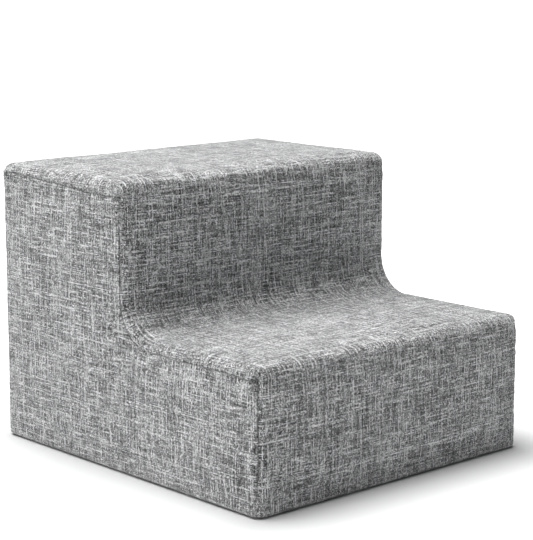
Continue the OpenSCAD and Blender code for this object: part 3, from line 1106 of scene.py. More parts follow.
@dataclass
class GripBase:
    """The base cloth and the grip dots printed under it."""

    cover: Cover
    cell: float = 6 * MM
    pitch: float = 18 * MM
    dot: float = 2 * MM
    margin: float = 4 * MM
    sides: int = 14

    def build_cloth(self) -> Object:
        """Makes the base cloth."""
        s = self.cover.skin.sizes
        across = graded(-s.x_in, s.x_in, 2 * MM, self.cell)
        along = graded(s.y_front, s.y_back, 2 * MM, self.cell)
        rows, cols = np.meshgrid(along, across, indexing="ij")
        points = np.stack([cols, rows, np.full_like(cols, s.base)], axis=-1)
        outward = np.broadcast_to(np.array([0.0, 0.0, -1.0]), points.shape)
        cut = Cut.from_grid(points, outward, np.stack([cols, rows], axis=-1))
        settled, outward, near = self.cover.settle(cut)
        made = close_cloth("base_cloth", cut, settled, outward, s.cloth, near)
        fixed(made, "cover_base_panel")
        return made

    def build_dots(self) -> Object:
        """Makes the grip dots, each a low dome that stands on the floor."""
        s = self.cover.skin.sizes
        turn = np.linspace(0, 2 * HALF_TURN, self.sides, endpoint=False)
        rings = [(1.0, s.base + 0.05 * MM), (0.98, 0.62 * s.base), (0.8, 0.22 * s.base), (0.42, 0.0)]
        circle = self.dot * np.column_stack([np.cos(turn), np.sin(turn)])
        dome = np.concatenate([np.column_stack([r * circle, np.full(self.sides, z)]) for r, z in rings])
        n = self.sides
        faces = [
            [ring * n + k, ring * n + (k + 1) % n, (ring + 1) * n + (k + 1) % n, (ring + 1) * n + k]
            for ring in range(len(rings) - 1) for k in range(n)
        ]
        faces = [face[::-1] for face in faces] + [list(range(n))]
        faces.append([(len(rings) - 1) * n + k for k in reversed(range(n))])
        half_x = int((s.x_in - self.margin - self.dot) // self.pitch)
        half_y = int((s.y_back - self.margin - self.dot) // self.pitch)
        places = [(i * self.pitch, j * self.pitch) for j in range(-half_y, half_y + 1)
                  for i in range(-half_x, half_x + 1)]
        points = np.concatenate([dome + np.array([x, y, 0.0]) for x, y in places])
        every = [[c + k * len(dome) for c in face] for k in range(len(places)) for face in faces]
        made = add_object("grip_dots", points, every)
        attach(made, "stair")
        return made


# ---- Foam core ----


@dataclass
class Inflation:
    """Lets a coarse copy of the stuffed cover fill out under pressure, held at its seams."""

    cover: Cover
    voxel: float = 9 * MM
    cap: float = 2.2 * MM
    sink: float = 0.3 * MM
    hold_reach: float = 16 * MM
    least_hold: float = 0.02

    def run(self, frames: int = 20, pressure: float = 4.0) -> None:
        """Runs the cloth and gives the cover its swelling.

        Args:
            frames: Number of steps.
            pressure: Pressure inside.
        """
        nodes = [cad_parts[f"{part.value}_block"] for part in FoamPart]
        body, other = (in_scene("filling", node.data.copy()) for node in nodes)
        self._join(body, other)
        remesh_in_place(body, self.voxel)
        start = mesh_points(body)
        hold = body.vertex_groups.new(name="held")
        gap = self.cover.near_seam(start)[0]
        calm = self.cover.calm(start)
        for k in range(len(start)):
            hold.add([k], float(max(1 - gap[k] / self.hold_reach, 1 - calm[k], self.least_hold)), "REPLACE")
        cloth = body.modifiers.new("filling", "CLOTH")
        cloth.settings.use_pressure = True
        cloth.settings.uniform_pressure_force = pressure
        cloth.settings.vertex_group_mass = hold.name
        cloth.settings.pin_stiffness = 6.0
        cloth.settings.quality = 5
        cloth.settings.tension_stiffness = 25
        cloth.settings.compression_stiffness = 25
        cloth.settings.bending_stiffness = 2.0
        cloth.settings.effector_weights.gravity = 0.0
        cloth.point_cache.frame_end = frames
        for step in range(1, frames + 1):
            bpy.context.scene.frame_set(step)
        moved = mesh_points(body, evaluated=True) - start
        bpy.context.scene.frame_set(1)
        outward = unit(start - self.cover.skin.core(start))
        rise = np.clip(np.einsum("ij,ij->i", moved, outward), -self.sink, self.cap)
        self.cover.swell, self.cover.swell_by = tree_of(start), rise
        bpy.data.objects.remove(body, do_unlink=True)
        LOG.info("cover filled out by up to %.1f mm", float(rise.max()) / MM)

    @staticmethod
    def _join(body: Object, other: Object) -> None:
        """Adds another object's mesh to the body."""
        joined = bmesh.new()
        joined.from_mesh(body.data)
        joined.from_mesh(other.data)
        joined.to_mesh(body.data)
        joined.free()
        bpy.data.objects.remove(other, do_unlink=True)


def remesh_in_place(body: Object, voxel: float) -> None:
    """Rebuilds an object's mesh from even voxels.

    Args:
        body: The object.
        voxel: Cell size.
    """
    change = body.modifiers.new("even cells", "REMESH")
    change.mode = "VOXEL"
    change.voxel_size = voxel
    shown = body.evaluated_get(bpy.context.evaluated_depsgraph_get())
    mesh = bpy.data.meshes.new_from_object(shown)
    body.modifiers.remove(change)
    old = body.data
    body.data = mesh
    bpy.data.meshes.remove(old)


class FoamPart(Enum):
    """The two foam blocks: the wide one on the floor and the one stepped on top of it."""

    BASE = "foam_base"
    STEP = "foam_step"


@dataclass
class FoamBlock:
    """A foam block with the soft shape that the cover presses into it."""

    cover: Cover
    part: FoamPart
    voxel: float = 5 * MM
    clearance: float = 0.35 * MM
    seam_dip: float = 1.6 * MM
    seam_dip_reach: float = 6 * MM

    def build(self) -> Object:
        """Makes the block."""
        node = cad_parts[f"{self.part.value}_block"]
        made = in_scene(self.part.value, node.data.copy())
        made.data.materials.clear()
        remesh_in_place(made, self.voxel)
        made.data.vertices.foreach_set("co", self._pressed(mesh_points(made)).ravel())
        made.data.update()
        made.data.polygons.foreach_set("use_smooth", [True] * len(made.data.polygons))
        fixed(made, f"{self.part.value}_block")
        return made

    def _pressed(self, points: Array) -> Array:
        """The block's points after the cover is pulled over it."""
        skin, s = self.cover.skin, self.cover.skin.sizes
        core = skin.core(points)
        out = points - core
        reach = np.linalg.norm(out, axis=1)
        outer = reach > 0.6 * (s.edge - s.cloth)
        out /= np.maximum(reach, TINY)[:, None]
        rise, gap = self.cover.rise(core + out * s.edge)
        flat_groove = -self.cover.pull.groove * np.exp(-((gap / self.cover.pull.groove_width) ** 2))
        rise = rise - flat_groove * self.cover.calm(points)
        rise -= self.clearance + self.seam_dip * np.exp(-((gap / self.seam_dip_reach) ** 2))
        cut_low, cut_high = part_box("foam_bond_film")
        on_cut = (points[:, 2] > cut_low[2] - 1 * MM) & (points[:, 2] < cut_high[2] + 1 * MM)
        on_cut &= points[:, 1] > s.cove_y + 2 * MM
        low_foot = points[:, 2] < s.base + s.cloth + 8 * MM
        moved = points + out * np.where(outer & ~low_foot, rise, 0.0)[:, None]
        moved[on_cut, 2] = points[on_cut, 2]
        return self._room_for_zip(moved)

    def _room_for_zip(self, points: Array) -> Array:
        """Presses the zip's shallow hollow into the back of the block."""
        tape_low, tape_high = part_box("zip_tape_lower")[0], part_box("zip_tape_upper")[1]
        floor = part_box("zip_slider")[0][1] - 0.2 * MM
        near = 2.5 * MM
        x, y, z = points.T
        over = (np.abs(x) < tape_high[0] + near) & (z > tape_low[2] - near) & (z < tape_high[2] + near)
        over &= y > self.cover.skin.sizes.y_back
        pressed = points.copy()
        pressed[over, 1] = np.minimum(y[over], floor)
        return pressed


# ---- Threads ----


def tubes(name: str, paths: Sequence[Array], radius: float, sides: int = 6) -> Object:
    """Makes round threads or wires along paths, as one mesh with its length and turn as a map.

    Args:
        name: The piece's name.
        paths: Each path's points in order.
        radius: Radius of the thread.
        sides: Number of sides.

    Returns:
        The object.
    """
    points, faces, along, around = [], [], [], []
    turn = np.linspace(0, 2 * HALF_TURN, sides, endpoint=False)
    first = 0
    for path in paths:
        heading = unit(np.gradient(path, axis=0))
        helper = np.array([0.0, 0.0, 1.0]) if abs(heading[:, 2].mean()) < 0.8 else np.array([1.0, 0.0, 0.0])
        aside = np.cross(heading, helper)
        flat = np.linalg.norm(aside, axis=1) < 0.05
        aside[flat] = np.cross(heading[flat], [0.0, 1.0, 0.0])
        aside = unit(aside)
        above = np.cross(aside, heading)
        ring = aside[:, None] * np.cos(turn)[None, :, None] + above[:, None] * np.sin(turn)[None, :, None]
        rows = path[:, None] + radius * ring
        count = len(path)
        index = first + np.arange(count * sides).reshape(count, sides)
        here, ahead = index[:-1], index[1:]
        cells = np.stack([here, np.roll(here, -1, 1), np.roll(ahead, -1, 1), ahead], axis=-1)
        faces.extend(cells.reshape(-1, 4).tolist())
        faces.append(index[0][::-1].tolist())
        faces.append(index[-1].tolist())
        points.append(rows.reshape(-1, 3))
        along.append(np.repeat(run_along(path), sides))
        around.append(np.tile(turn, count))
        first += count * sides
    made = add_object(name, np.concatenate(points), faces)
    add_values(made, "thread_along", np.concatenate(along))
    add_values(made, "thread_around", np.concatenate(around))
    return made


@dataclass
class SeamThreads:
    """The lines of lock stitches that close the cover's seams."""

    cover: Cover
    radius: float = 0.3 * MM
    stitch: float = 3.2 * MM
    depth: float = 0.75 * MM
    bob: float = 0.5 * MM
    spacing: float = 0.8 * MM

    def build(self, name: str) -> Object:
        """Makes one seam's thread.

        Args:
            name: The seam: left, right, back or base.

        Returns:
            The thread.
        """
        line = resample(self.cover.seams[name], self.spacing)
        points, outward = line[:, :3], line[:, 3:]
        rise = self.cover.rise(points)[0]
        along = np.arange(len(points)) * self.spacing
        bob = np.abs(np.sin(HALF_TURN * along / self.stitch))
        lift = np.minimum(rise - self.depth + self.bob * bob, -self.radius)
        made = tubes(f"seam_stitches_{name}", [points + outward * lift[:, None]], self.radius)
        return fixed(made, f"seam_thread_{name}")


# ---- Zip ----


class Row(Named):
    """The two rows of the zip."""

    UPPER = 1
    LOWER = -1


@dataclass
class Zip:
    """The coil zip behind the base: its tapes, coils, top stitching, end tacks, slider and pull tab."""

    cover: Cover
    wire: float = 0.29 * MM
    coil_pitch: float = 1.3 * MM
    points_a_turn: int = 14
    stitch: float = 3 * MM
    stitch_pitch: float = 4 * MM
    thread: float = 0.28 * MM
    tack_threads: int = 6

    def tape(self, row: Row) -> Object:
        """Makes one woven tape."""
        low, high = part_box(f"zip_tape_{row.word}")
        across = graded(low[2], high[2], 0.8 * MM, 1.5 * MM)
        along = graded(low[0], high[0], 1.5 * MM, 4 * MM)
        rows, cols = np.meshgrid(across, along, indexing="ij")
        face = high[1] + 0.03 * MM * np.sin(cols / (2.3 * MM)) - 0.03 * MM
        points = np.stack([cols, face, rows], axis=-1)
        outward = np.broadcast_to(np.array([0.0, 1.0, 0.0]), points.shape)
        cut = Cut.from_grid(points, outward, np.stack([cols, rows], axis=-1))
        near = np.full(len(cut.points), 0.05)
        made = close_cloth(f"zip_tape_cloth_{row.word}", cut, cut.points, cut.outward, high[1] - low[1], near)
        fixed(made, f"zip_tape_{row.word}")
        return made

    def coil(self, row: Row) -> Object:
        """Makes one row of coil, with every turn of its wire."""
        low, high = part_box(f"zip_coil_{row.word}")
        turns = (high[0] - low[0] - 2 * self.wire) / self.coil_pitch
        angle = np.arange(int(turns * self.points_a_turn) + 1) * 2 * HALF_TURN / self.points_a_turn
        half_z = (high[2] - low[2]) / 2 - self.wire
        half_y = (high[1] - low[1]) / 2 - self.wire
        square = 0.82
        bend_z = np.sign(np.cos(angle)) * np.abs(np.cos(angle)) ** square
        bend_y = np.sign(np.sin(angle)) * np.abs(np.sin(angle)) ** square
        path = np.column_stack([
            low[0] + self.wire + self.coil_pitch * angle / (2 * HALF_TURN),
            (low[1] + high[1]) / 2 + half_y * bend_y,
            (low[2] + high[2]) / 2 + row.value * half_z * bend_z,
        ])
        made = tubes(f"zip_coil_wire_{row.word}", [path], self.wire)
        return fixed(made, f"zip_coil_{row.word}")

    def stitches(self, row: Row) -> Object:
        """Makes the row of top stitches beside one lip."""
        low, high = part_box(f"zip_stitches_{row.word}")
        height, face = (low[2] + high[2]) / 2, low[1]
        count = int(round((high[0] - low[0] - self.stitch) / self.stitch_pitch)) + 1
        share = np.linspace(-1, 1, 9)
        paths = []
        for k in range(count):
            middle = low[0] + self.stitch / 2 + k * self.stitch_pitch
            sink = (self.thread + 0.55 * MM) * np.abs(share) ** 3.5
            paths.append(np.column_stack([
                middle + share * self.stitch / 2,
                face + high[1] - low[1] - self.thread - sink,
                height + 0.12 * MM * share,
            ]))
        made = tubes(f"zip_top_stitches_{row.word}", paths, self.thread)
        return fixed(made, f"zip_stitches_{row.word}")

    def tacks(self) -> Object:
        """Makes the bar tack at each end of the coil."""
        low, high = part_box("zip_end_tacks")
        slider_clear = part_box("zip_coil_upper")[1][0]
        share = np.linspace(-1, 1, 11)
        step = (high[0] - slider_clear - 2 * self.wire) / (self.tack_threads - 1)
        paths = []
        for end in (-1, 1):
            for k in range(self.tack_threads):
                lean = 0.2 * MM * share * (1 if k % 2 else -1)
                paths.append(np.column_stack([
                    end * (slider_clear + self.wire + k * step) + lean * 0.6,
                    low[1] + self.wire + (high[1] - low[1] - 2 * self.wire) * (1 - np.abs(share) ** 3),
                    (low[2] + high[2]) / 2 + share * ((high[2] - low[2]) / 2 - self.wire),
                ]))
        made = tubes("zip_bar_tacks", paths, self.wire)
        return fixed(made, "zip_end_tacks")

    @staticmethod
    def soften(name: str, width: float) -> Object:
        """Rounds the edges of the slider or the pull tab as cast."""
        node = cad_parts[name]
        rounding = node.modifiers.new("cast edges", "BEVEL")
        rounding.width = width
        rounding.segments = 3
        rounding.limit_method = "ANGLE"
        rounding.angle_limit = math.radians(35)
        rounding.harden_normals = False
        return node


# ---- Wiring of finishes ----


@dataclass
class Wiring:
    """Adds nodes to one node tree and joins their sockets."""

    tree: NodeTree

    def node(self, kind: str, **settings: object) -> Node:
        """Adds a node.

        Args:
            kind: The node's type name.
            **settings: Properties to set on it.

        Returns:
            The node.
        """
        made = self.tree.nodes.new(kind)
        for name, value in settings.items():
            setattr(made, name, value)
        return made

    def feed(self, socket: Socket, value: object) -> None:
        """Joins a socket to another, or sets it to a plain value."""
        if isinstance(value, bpy.types.NodeSocket):
            self.tree.links.new(value, socket)
        else:
            socket.default_value = value

    def math(self, operation: str, *values: object, clamp: bool = False) -> Socket:
        """A sum, product or other operation on numbers.

        Args:
            operation: Name of the operation.
            *values: Numbers or sockets.
            clamp: Whether the result is kept between 0 and 1.

        Returns:
            The result's socket.
        """
        made = self.node("ShaderNodeMath", operation=operation, use_clamp=clamp)
        for socket, value in zip(made.inputs, values):
            self.feed(socket, value)
        return made.outputs[0]

    def times(self, first: object, second: object) -> Socket:
        """Two numbers multiplied."""
        return self.math("MULTIPLY", first, second)

    def plus(self, first: object, second: object) -> Socket:
        """Two numbers added."""
        return self.math("ADD", first, second)

    def minus(self, first: object, second: object) -> Socket:
        """One number less another."""
        return self.math("SUBTRACT", first, second)

    def over(self, first: object, second: object) -> Socket:
        """One number divided by another."""
        return self.math("DIVIDE", first, second)

    def paint(self, shader: Node, colour: object, rough: object) -> None:
        """Feeds a shader's colour and roughness."""
        self.feed(shader.inputs["Base Color"], colour)
        self.feed(shader.inputs["Roughness"], rough)

    def dimmed(self, colour: object, gain: Socket) -> Socket:
        """A colour made darker or lighter by a number."""
        return self.blend(1.0, colour, self.combine(gain, gain, gain), "MULTIPLY")

    def stretch(self, value: object, low: float, high: float,
                to_low: float = 0.0, to_high: float = 1.0) -> Socket:
        """A number moved from one range to another and kept inside it."""
        made = self.node("ShaderNodeMapRange")
        for name, number in (("Value", value), ("From Min", low), ("From Max", high),
                             ("To Min", to_low), ("To Max", to_high)):
            self.feed(made.inputs[name], number)
        return made.outputs[0]

    def combine(self, x: object = 0.0, y: object = 0.0, z: object = 0.0) -> Socket:
        """A vector made of three numbers."""
        made = self.node("ShaderNodeCombineXYZ")
        for socket, value in zip(made.inputs, (x, y, z)):
            self.feed(socket, value)
        return made.outputs[0]

    def split(self, vector: Socket) -> tuple[Socket, Socket, Socket]:
        """The three numbers of a vector."""
        made = self.node("ShaderNodeSeparateXYZ")
        self.feed(made.inputs[0], vector)
        return made.outputs[0], made.outputs[1], made.outputs[2]

    def noise(self, vector: object, scale: object, detail: float = 2.0, rough: float = 0.5,
              output: str = "Fac") -> Socket:
        """A noise texture's value, or its colour."""
        made = self.node("ShaderNodeTexNoise")
        self.feed(made.inputs["Vector"], vector)
        self.feed(made.inputs["Scale"], scale)
        made.inputs["Detail"].default_value = detail
        made.inputs["Roughness"].default_value = rough
        return made.outputs[output]

    def blend(self, share: object, first: object, second: object, mode: str = "MIX") -> Socket:
        """A mix of two colours."""
        made = self.node("ShaderNodeMix", data_type="RGBA", blend_type=mode)
        self.feed(made.inputs[0], share)
        self.feed(made.inputs[6], first)
        self.feed(made.inputs[7], second)
        return made.outputs[2]

    def spot(self) -> Socket:
        """The place on the object itself."""
        return self.node("ShaderNodeTexCoord").outputs["Object"]

    def value_of(self, name: str) -> Socket:
        """A number stored on the mesh's points."""
        return self.node("ShaderNodeAttribute", attribute_name=name).outputs["Fac"]

    def threads(self) -> Socket:
        """Places along the cloth's threads."""
        return self.node("ShaderNodeUVMap", uv_map="Threads").outputs[0]

    def grouped(self, group: NodeTree, **values: object) -> Node:
        """Places a group and feeds its inputs, whose names have spaces for underscores.

        Args:
            group: The group.
            **values: Numbers, colours or sockets for its inputs.

        Returns:
            The group's node.
        """
        made = self.node("ShaderNodeGroup", node_tree=group)
        for name, value in values.items():
            self.feed(made.inputs[name.replace("_", " ")], value)
        return made


def new_group(name: str, inputs: Sequence[tuple[str, str, object]],
              outputs: Sequence[tuple[str, str]]) -> tuple[Wiring, Socket, Socket]:
    """Starts a shader node group.

    Args:
        name: The group's name.
        inputs: Name, kind (Float, Color or Vector) and usual value of each input.
        outputs: Name and kind of each output.

    Returns:
        The group's wiring, its inputs by name and its outputs by name.
    """
    tree = bpy.data.node_groups.new(name, "ShaderNodeTree")
    for label, kind, usual in inputs:
        socket = tree.interface.new_socket(name=label, in_out="INPUT", socket_type=f"NodeSocket{kind}")
        if usual is not None:
            socket.default_value = usual
    for label, kind in outputs:
        tree.interface.new_socket(name=label, in_out="OUTPUT", socket_type=f"NodeSocket{kind}")
    wires = Wiring(tree)
    return wires, wires.node("NodeGroupInput").outputs, wires.node("NodeGroupOutput").inputs


Colour = tuple[float, float, float, float]


def grey(value: float, blue: float = 0.0) -> Colour:
    """A grey, a little bluer if wanted."""
    return (value * (1 - blue), value, value * (1 + blue), 1.0)


class Effects:
    """Shader node groups that more than one finish uses."""

    def __init__(self) -> None:
        """Builds every group once."""
        self.weave = self._weave()
        self.seam_shade = self._seam_shade()
        self.lint = self._lint()
        self.handling = self._handling()
        self.twist = self._twist()
        self.metal_wear = self._metal_wear()

    def handled(self, w: Wiring, colour: Socket, uneven: float, dust: float = 0.0,
                height: float = 10 * MM) -> Socket:
        """Gives a colour the uneven tone and the dust of use."""
        made = w.grouped(self.handling, Colour=colour, Place=w.spot(), Unevenness=uneven, Dust=dust,
                         Dust_Height=height)
        return made.outputs["Colour"]

    def linted(self, w: Wiring, colour: Socket, amount: float, fibre: Colour) -> Node:
        """Lays loose fibres on a colour."""
        return w.grouped(self.lint, Colour=colour, Place=w.spot(), Amount=amount, Fibre_Colour=fibre)

    def painted_seam_shade(self, w: Wiring, colour: Socket, reach: float, depth: float) -> Socket:
        """Painted shade: darkens a colour close to the seams, where their grooves lie in shade."""
        made = w.grouped(self.seam_shade, Colour=colour, Distance=w.value_of("seam_distance"), Reach=reach,
                         Depth=depth)
        return made.outputs["Colour"]

    def twisted(self, w: Wiring, colour: Colour, groove: Colour, lay: float, plies: float) -> Node:
        """Twists a thread's plies, or ribs a wire, with painted shade in the grooves between them."""
        return w.grouped(self.twist, Along=w.value_of("thread_along"), Around=w.value_of("thread_around"),
                         Lay=lay, Plies=plies, Colour=colour, Groove_Colour=groove)

    @staticmethod
    def _weave() -> NodeTree:
        """Plain weave of heathered yarns with slubs, both ways."""
        w, i, o = new_group("Heathered weave", [
            ("Threads", "Vector", None), ("Warp Pitch", "Float", 1.5 * MM),
            ("Weft Pitch", "Float", 1.6 * MM), ("Slub Length", "Float", 14 * MM),
            ("Streak", "Float", 0.6), ("Drift", "Float", 0.5 * MM),
            ("Light Yarn", "Color", grey(0.7)), ("Dark Yarn", "Color", grey(0.1)), ("Seed", "Float", 0.0),
            ("Darkening", "Float", 1.5),
        ], [("Colour", "Color"), ("Height", "Float"), ("Light", "Float")])
        drift = w.noise(i["Threads"], 26.0, 2.0, 0.5, output="Color")
        shift_u, shift_v, _ = w.split(drift)
        u, v, _ = w.split(i["Threads"])
        u = w.plus(u, w.times(w.minus(shift_u, 0.5), i["Drift"]))
        v = w.plus(v, w.times(w.minus(shift_v, 0.5), i["Drift"]))
        across = w.over(u, i["Warp Pitch"])
        along = w.over(v, i["Weft Pitch"])
        warp, weft = w.math("FLOOR", across), w.math("FLOOR", along)
        in_warp, in_weft = w.math("FRACT", across), w.math("FRACT", along)

        def yarn(number: Socket, place: Socket, seed: float, turned: float, slubs: float) -> Socket:
            """How light one yarn is at a place along it."""
            far = w.over(place, i["Slub Length"])
            row = w.times(number, 7.31)
            long = w.noise(w.combine(row, far, w.plus(i["Seed"], seed)), 1.0, 0.0)
            bits = w.combine(w.times(number, 3.77), w.times(far, turned), w.plus(i["Seed"], seed + 5.0))
            short = w.noise(bits, 1.0, 1.0, 0.6)
            own = w.node("ShaderNodeTexWhiteNoise", noise_dimensions="1D")
            w.feed(own.inputs["W"], w.plus(number, w.plus(i["Seed"], seed)))
            slub = w.times(long, slubs)
            mixed = w.plus(w.times(short, 1 - slubs), slub)
            mixed = w.plus(mixed, w.times(w.minus(own.outputs["Value"], 0.5), 0.08))
            return w.math("POWER", w.stretch(mixed, 0.38, 0.655), i["Darkening"])

        def fibres(across_yarn: Socket, along_yarn: Socket) -> Socket:
            """Fine fibres laid along a yarn."""
            place = w.combine(w.times(across_yarn, 9.0), along_yarn, i["Seed"])
            return w.stretch(w.noise(place, 1.0, 2.0, 0.6), 0.3, 0.7, 0.8, 1.15)

        def by_yarn(weft_value: Socket, warp_value: Socket) -> Socket:
            """The value of the yarn that lies on top."""
            return w.plus(w.times(weft_over, weft_value), w.times(w.minus(1.0, weft_over), warp_value))

        def yarn_shade(own: Socket, crossed: Socket) -> Socket:
            """Shade towards a yarn's own edges, and under the yarns that cross it."""
            return w.times(w.stretch(own, 0.0, 0.6, 0.5, 1.0), w.stretch(crossed, 0.0, 0.35, 0.8, 1.0))

        warp_light = yarn(warp, v, 1.3, 10.5, 0.42)
        weft_light = yarn(weft, u, 21.7, 11.5, 0.41)
        parity = w.math("ABSOLUTE", w.math("MODULO", w.plus(warp, weft), 2.0))
        lead = w.times(w.minus(weft_light, warp_light), i["Streak"])
        weft_over = w.math("GREATER_THAN", w.plus(parity, lead), 0.5)
        light = by_yarn(weft_light, warp_light)
        round_warp = w.math("SINE", w.times(in_warp, HALF_TURN))
        round_weft = w.math("SINE", w.times(in_weft, HALF_TURN))
        hump = w.plus(w.times(round_warp, 0.5), w.times(round_weft, 0.5))
        warp_shade = w.times(yarn_shade(round_warp, round_weft), fibres(across, along))
        weft_shade = w.times(yarn_shade(round_weft, round_warp), fibres(along, across))
        hole = w.times(w.minus(1.0, round_warp), w.minus(1.0, round_weft))
        shade = w.times(by_yarn(weft_shade, warp_shade), w.stretch(hole, 0.12, 0.6, 1.0, 0.4))
        colour = w.blend(light, i["Dark Yarn"], i["Light Yarn"])
        w.feed(o["Colour"], w.dimmed(colour, shade))
        w.feed(o["Height"], w.plus(hump, w.times(light, 0.35)))
        w.feed(o["Light"], light)
        return w.tree

    @staticmethod
    def _seam_shade() -> NodeTree:
        """Painted shade: darker cloth close to a seam, where the seam's groove lies in shade."""
        w, i, o = new_group("Seam shade", [
            ("Colour", "Color", grey(0.5)), ("Distance", "Float", 1.0), ("Reach", "Float", 1.4 * MM),
            ("Depth", "Float", 0.6),
        ], [("Colour", "Color")])
        share = w.over(i["Distance"], i["Reach"])
        mask = w.math("POWER", 2.718, w.times(w.times(share, share), -1.0))
        keep = w.minus(1.0, w.times(mask, i["Depth"]))
        w.feed(o["Colour"], w.dimmed(i["Colour"], keep))
        return w.tree

    @staticmethod
    def _lint() -> NodeTree:
        """Fine loose fibres that stand on a cloth or foam."""
        w, i, o = new_group("Lint", [
            ("Colour", "Color", grey(0.5)), ("Place", "Vector", None), ("Amount", "Float", 0.1),
            ("Fibre Colour", "Color", grey(0.8)),
        ], [("Colour", "Color"), ("Height", "Float")])
        hairs = w.noise(i["Place"], 2600.0, 2.0, 0.7)
        patches = w.noise(i["Place"], 60.0, 2.0, 0.5)
        hair = w.stretch(hairs, 0.6, 0.75)
        share = w.times(w.times(hair, w.stretch(patches, 0.35, 0.7)), i["Amount"])
        w.feed(o["Colour"], w.blend(share, i["Colour"], i["Fibre Colour"]))
        w.feed(o["Height"], hairs)
        return w.tree

    @staticmethod
    def _handling() -> NodeTree:
        """Soft uneven tone from dye and handling, with a little dust low down."""
        w, i, o = new_group("Handling", [
            ("Colour", "Color", grey(0.5)), ("Place", "Vector", None), ("Unevenness", "Float", 0.1),
            ("Dust", "Float", 0.05), ("Dust Height", "Float", 30 * MM),
        ], [("Colour", "Color")])
        cloud = w.noise(i["Place"], 11.0, 4.0, 0.6)
        tone = w.stretch(cloud, 0.3, 0.7, -1.0, 1.0)
        gain = w.plus(1.0, w.times(tone, i["Unevenness"]))
        toned = w.dimmed(i["Colour"], gain)
        height = w.split(i["Place"])[2]
        low = w.math("SUBTRACT", 1.0, w.over(height, i["Dust Height"]), clamp=True)
        dust = w.times(w.times(low, cloud), i["Dust"])
        w.feed(o["Colour"], w.blend(dust, toned, (0.62, 0.60, 0.57, 1.0)))
        return w.tree

    @staticmethod
    def _twist() -> NodeTree:
        """Twisted plies of a sewing thread, or ribs across a wire, with painted shade in the grooves between
        them.
        """
        w, i, o = new_group("Thread twist", [
            ("Along", "Float", 0.0), ("Around", "Float", 0.0), ("Lay", "Float", 1.1 * MM),
            ("Plies", "Float", 3.0),
            ("Colour", "Color", grey(0.2)), ("Groove Colour", "Color", grey(0.05)),
        ], [("Colour", "Color"), ("Height", "Float")])
        turns = w.times(w.over(i["Along"], i["Lay"]), 2 * HALF_TURN)
        phase = w.plus(turns, w.times(i["Around"], i["Plies"]))
        height = w.math("ABSOLUTE", w.math("SINE", w.times(phase, 0.5)))
        # Painted shade: the darker groove colour lies in the low grooves, the thread's own colour on the
        # raised plies.
        w.feed(o["Colour"], w.blend(w.stretch(height, 0.0, 0.6), i["Groove Colour"], i["Colour"]))
        w.feed(o["Height"], height)
        return w.tree

    @staticmethod
    def _metal_wear() -> NodeTree:
        """Fine scratches and dull patches of handled metal."""
        w, i, o = new_group("Metal wear", [
            ("Place", "Vector", None), ("Colour", "Color", grey(0.5)), ("Worn Colour", "Color", grey(0.7)),
            ("Scratch", "Float", 0.4),
        ], [("Colour", "Color"), ("Roughness", "Float"), ("Height", "Float")])
        x, y, z = w.split(i["Place"])
        brushed = w.noise(w.combine(w.times(x, 300.0), w.times(y, 4000.0), w.times(z, 4000.0)), 1.0, 3.0, 0.6)
        patches = w.noise(i["Place"], 420.0, 3.0, 0.6)
        worn = w.times(w.stretch(patches, 0.45, 0.65), i["Scratch"])
        w.feed(o["Colour"], w.blend(worn, i["Colour"], i["Worn Colour"]))
        rough = w.plus(w.stretch(brushed, 0.3, 0.7, 0.24, 0.40), w.times(worn, 0.18))
        w.feed(o["Roughness"], rough)
        w.feed(o["Height"], brushed)
        return w.tree


def new_finish(name: str) -> tuple[Material, Wiring, Node]:
    """Starts a material with only a Principled shader.

    Args:
        name: The finish's name.

    Returns:
        The material, its wiring and its shader.
    """
    material = bpy.data.materials.new(name)
    material.use_nodes = True
    material.node_tree.nodes.clear()
    wires = Wiring(material.node_tree)
    shader = wires.node("ShaderNodeBsdfPrincipled")
    output = wires.node("ShaderNodeOutputMaterial")
    wires.feed(output.inputs["Surface"], shader.outputs[0])
    return material, wires, shader


def add_bump(wires: Wiring, shader: Node, height: object, depth: float, strength: float,
             under: Optional[Socket] = None) -> Socket:
    """Raises a shader's surface by a height.

    Args:
        wires: The material's wiring.
        shader: The shader.
        height: The height, from 0 to 1.
        depth: What a height of 1 stands for, in metres.
        strength: Strength of the bump.
        under: A normal that this bump lies on.

    Returns:
        The new normal.
    """
    bump = wires.node("ShaderNodeBump")
    bump.inputs["Strength"].default_value = strength
    bump.inputs["Distance"].default_value = depth
    wires.feed(bump.inputs["Height"], height)
    if under is not None:
        wires.feed(bump.inputs["Normal"], under)
    wires.feed(shader.inputs["Normal"], bump.outputs[0])
    return bump.outputs[0]


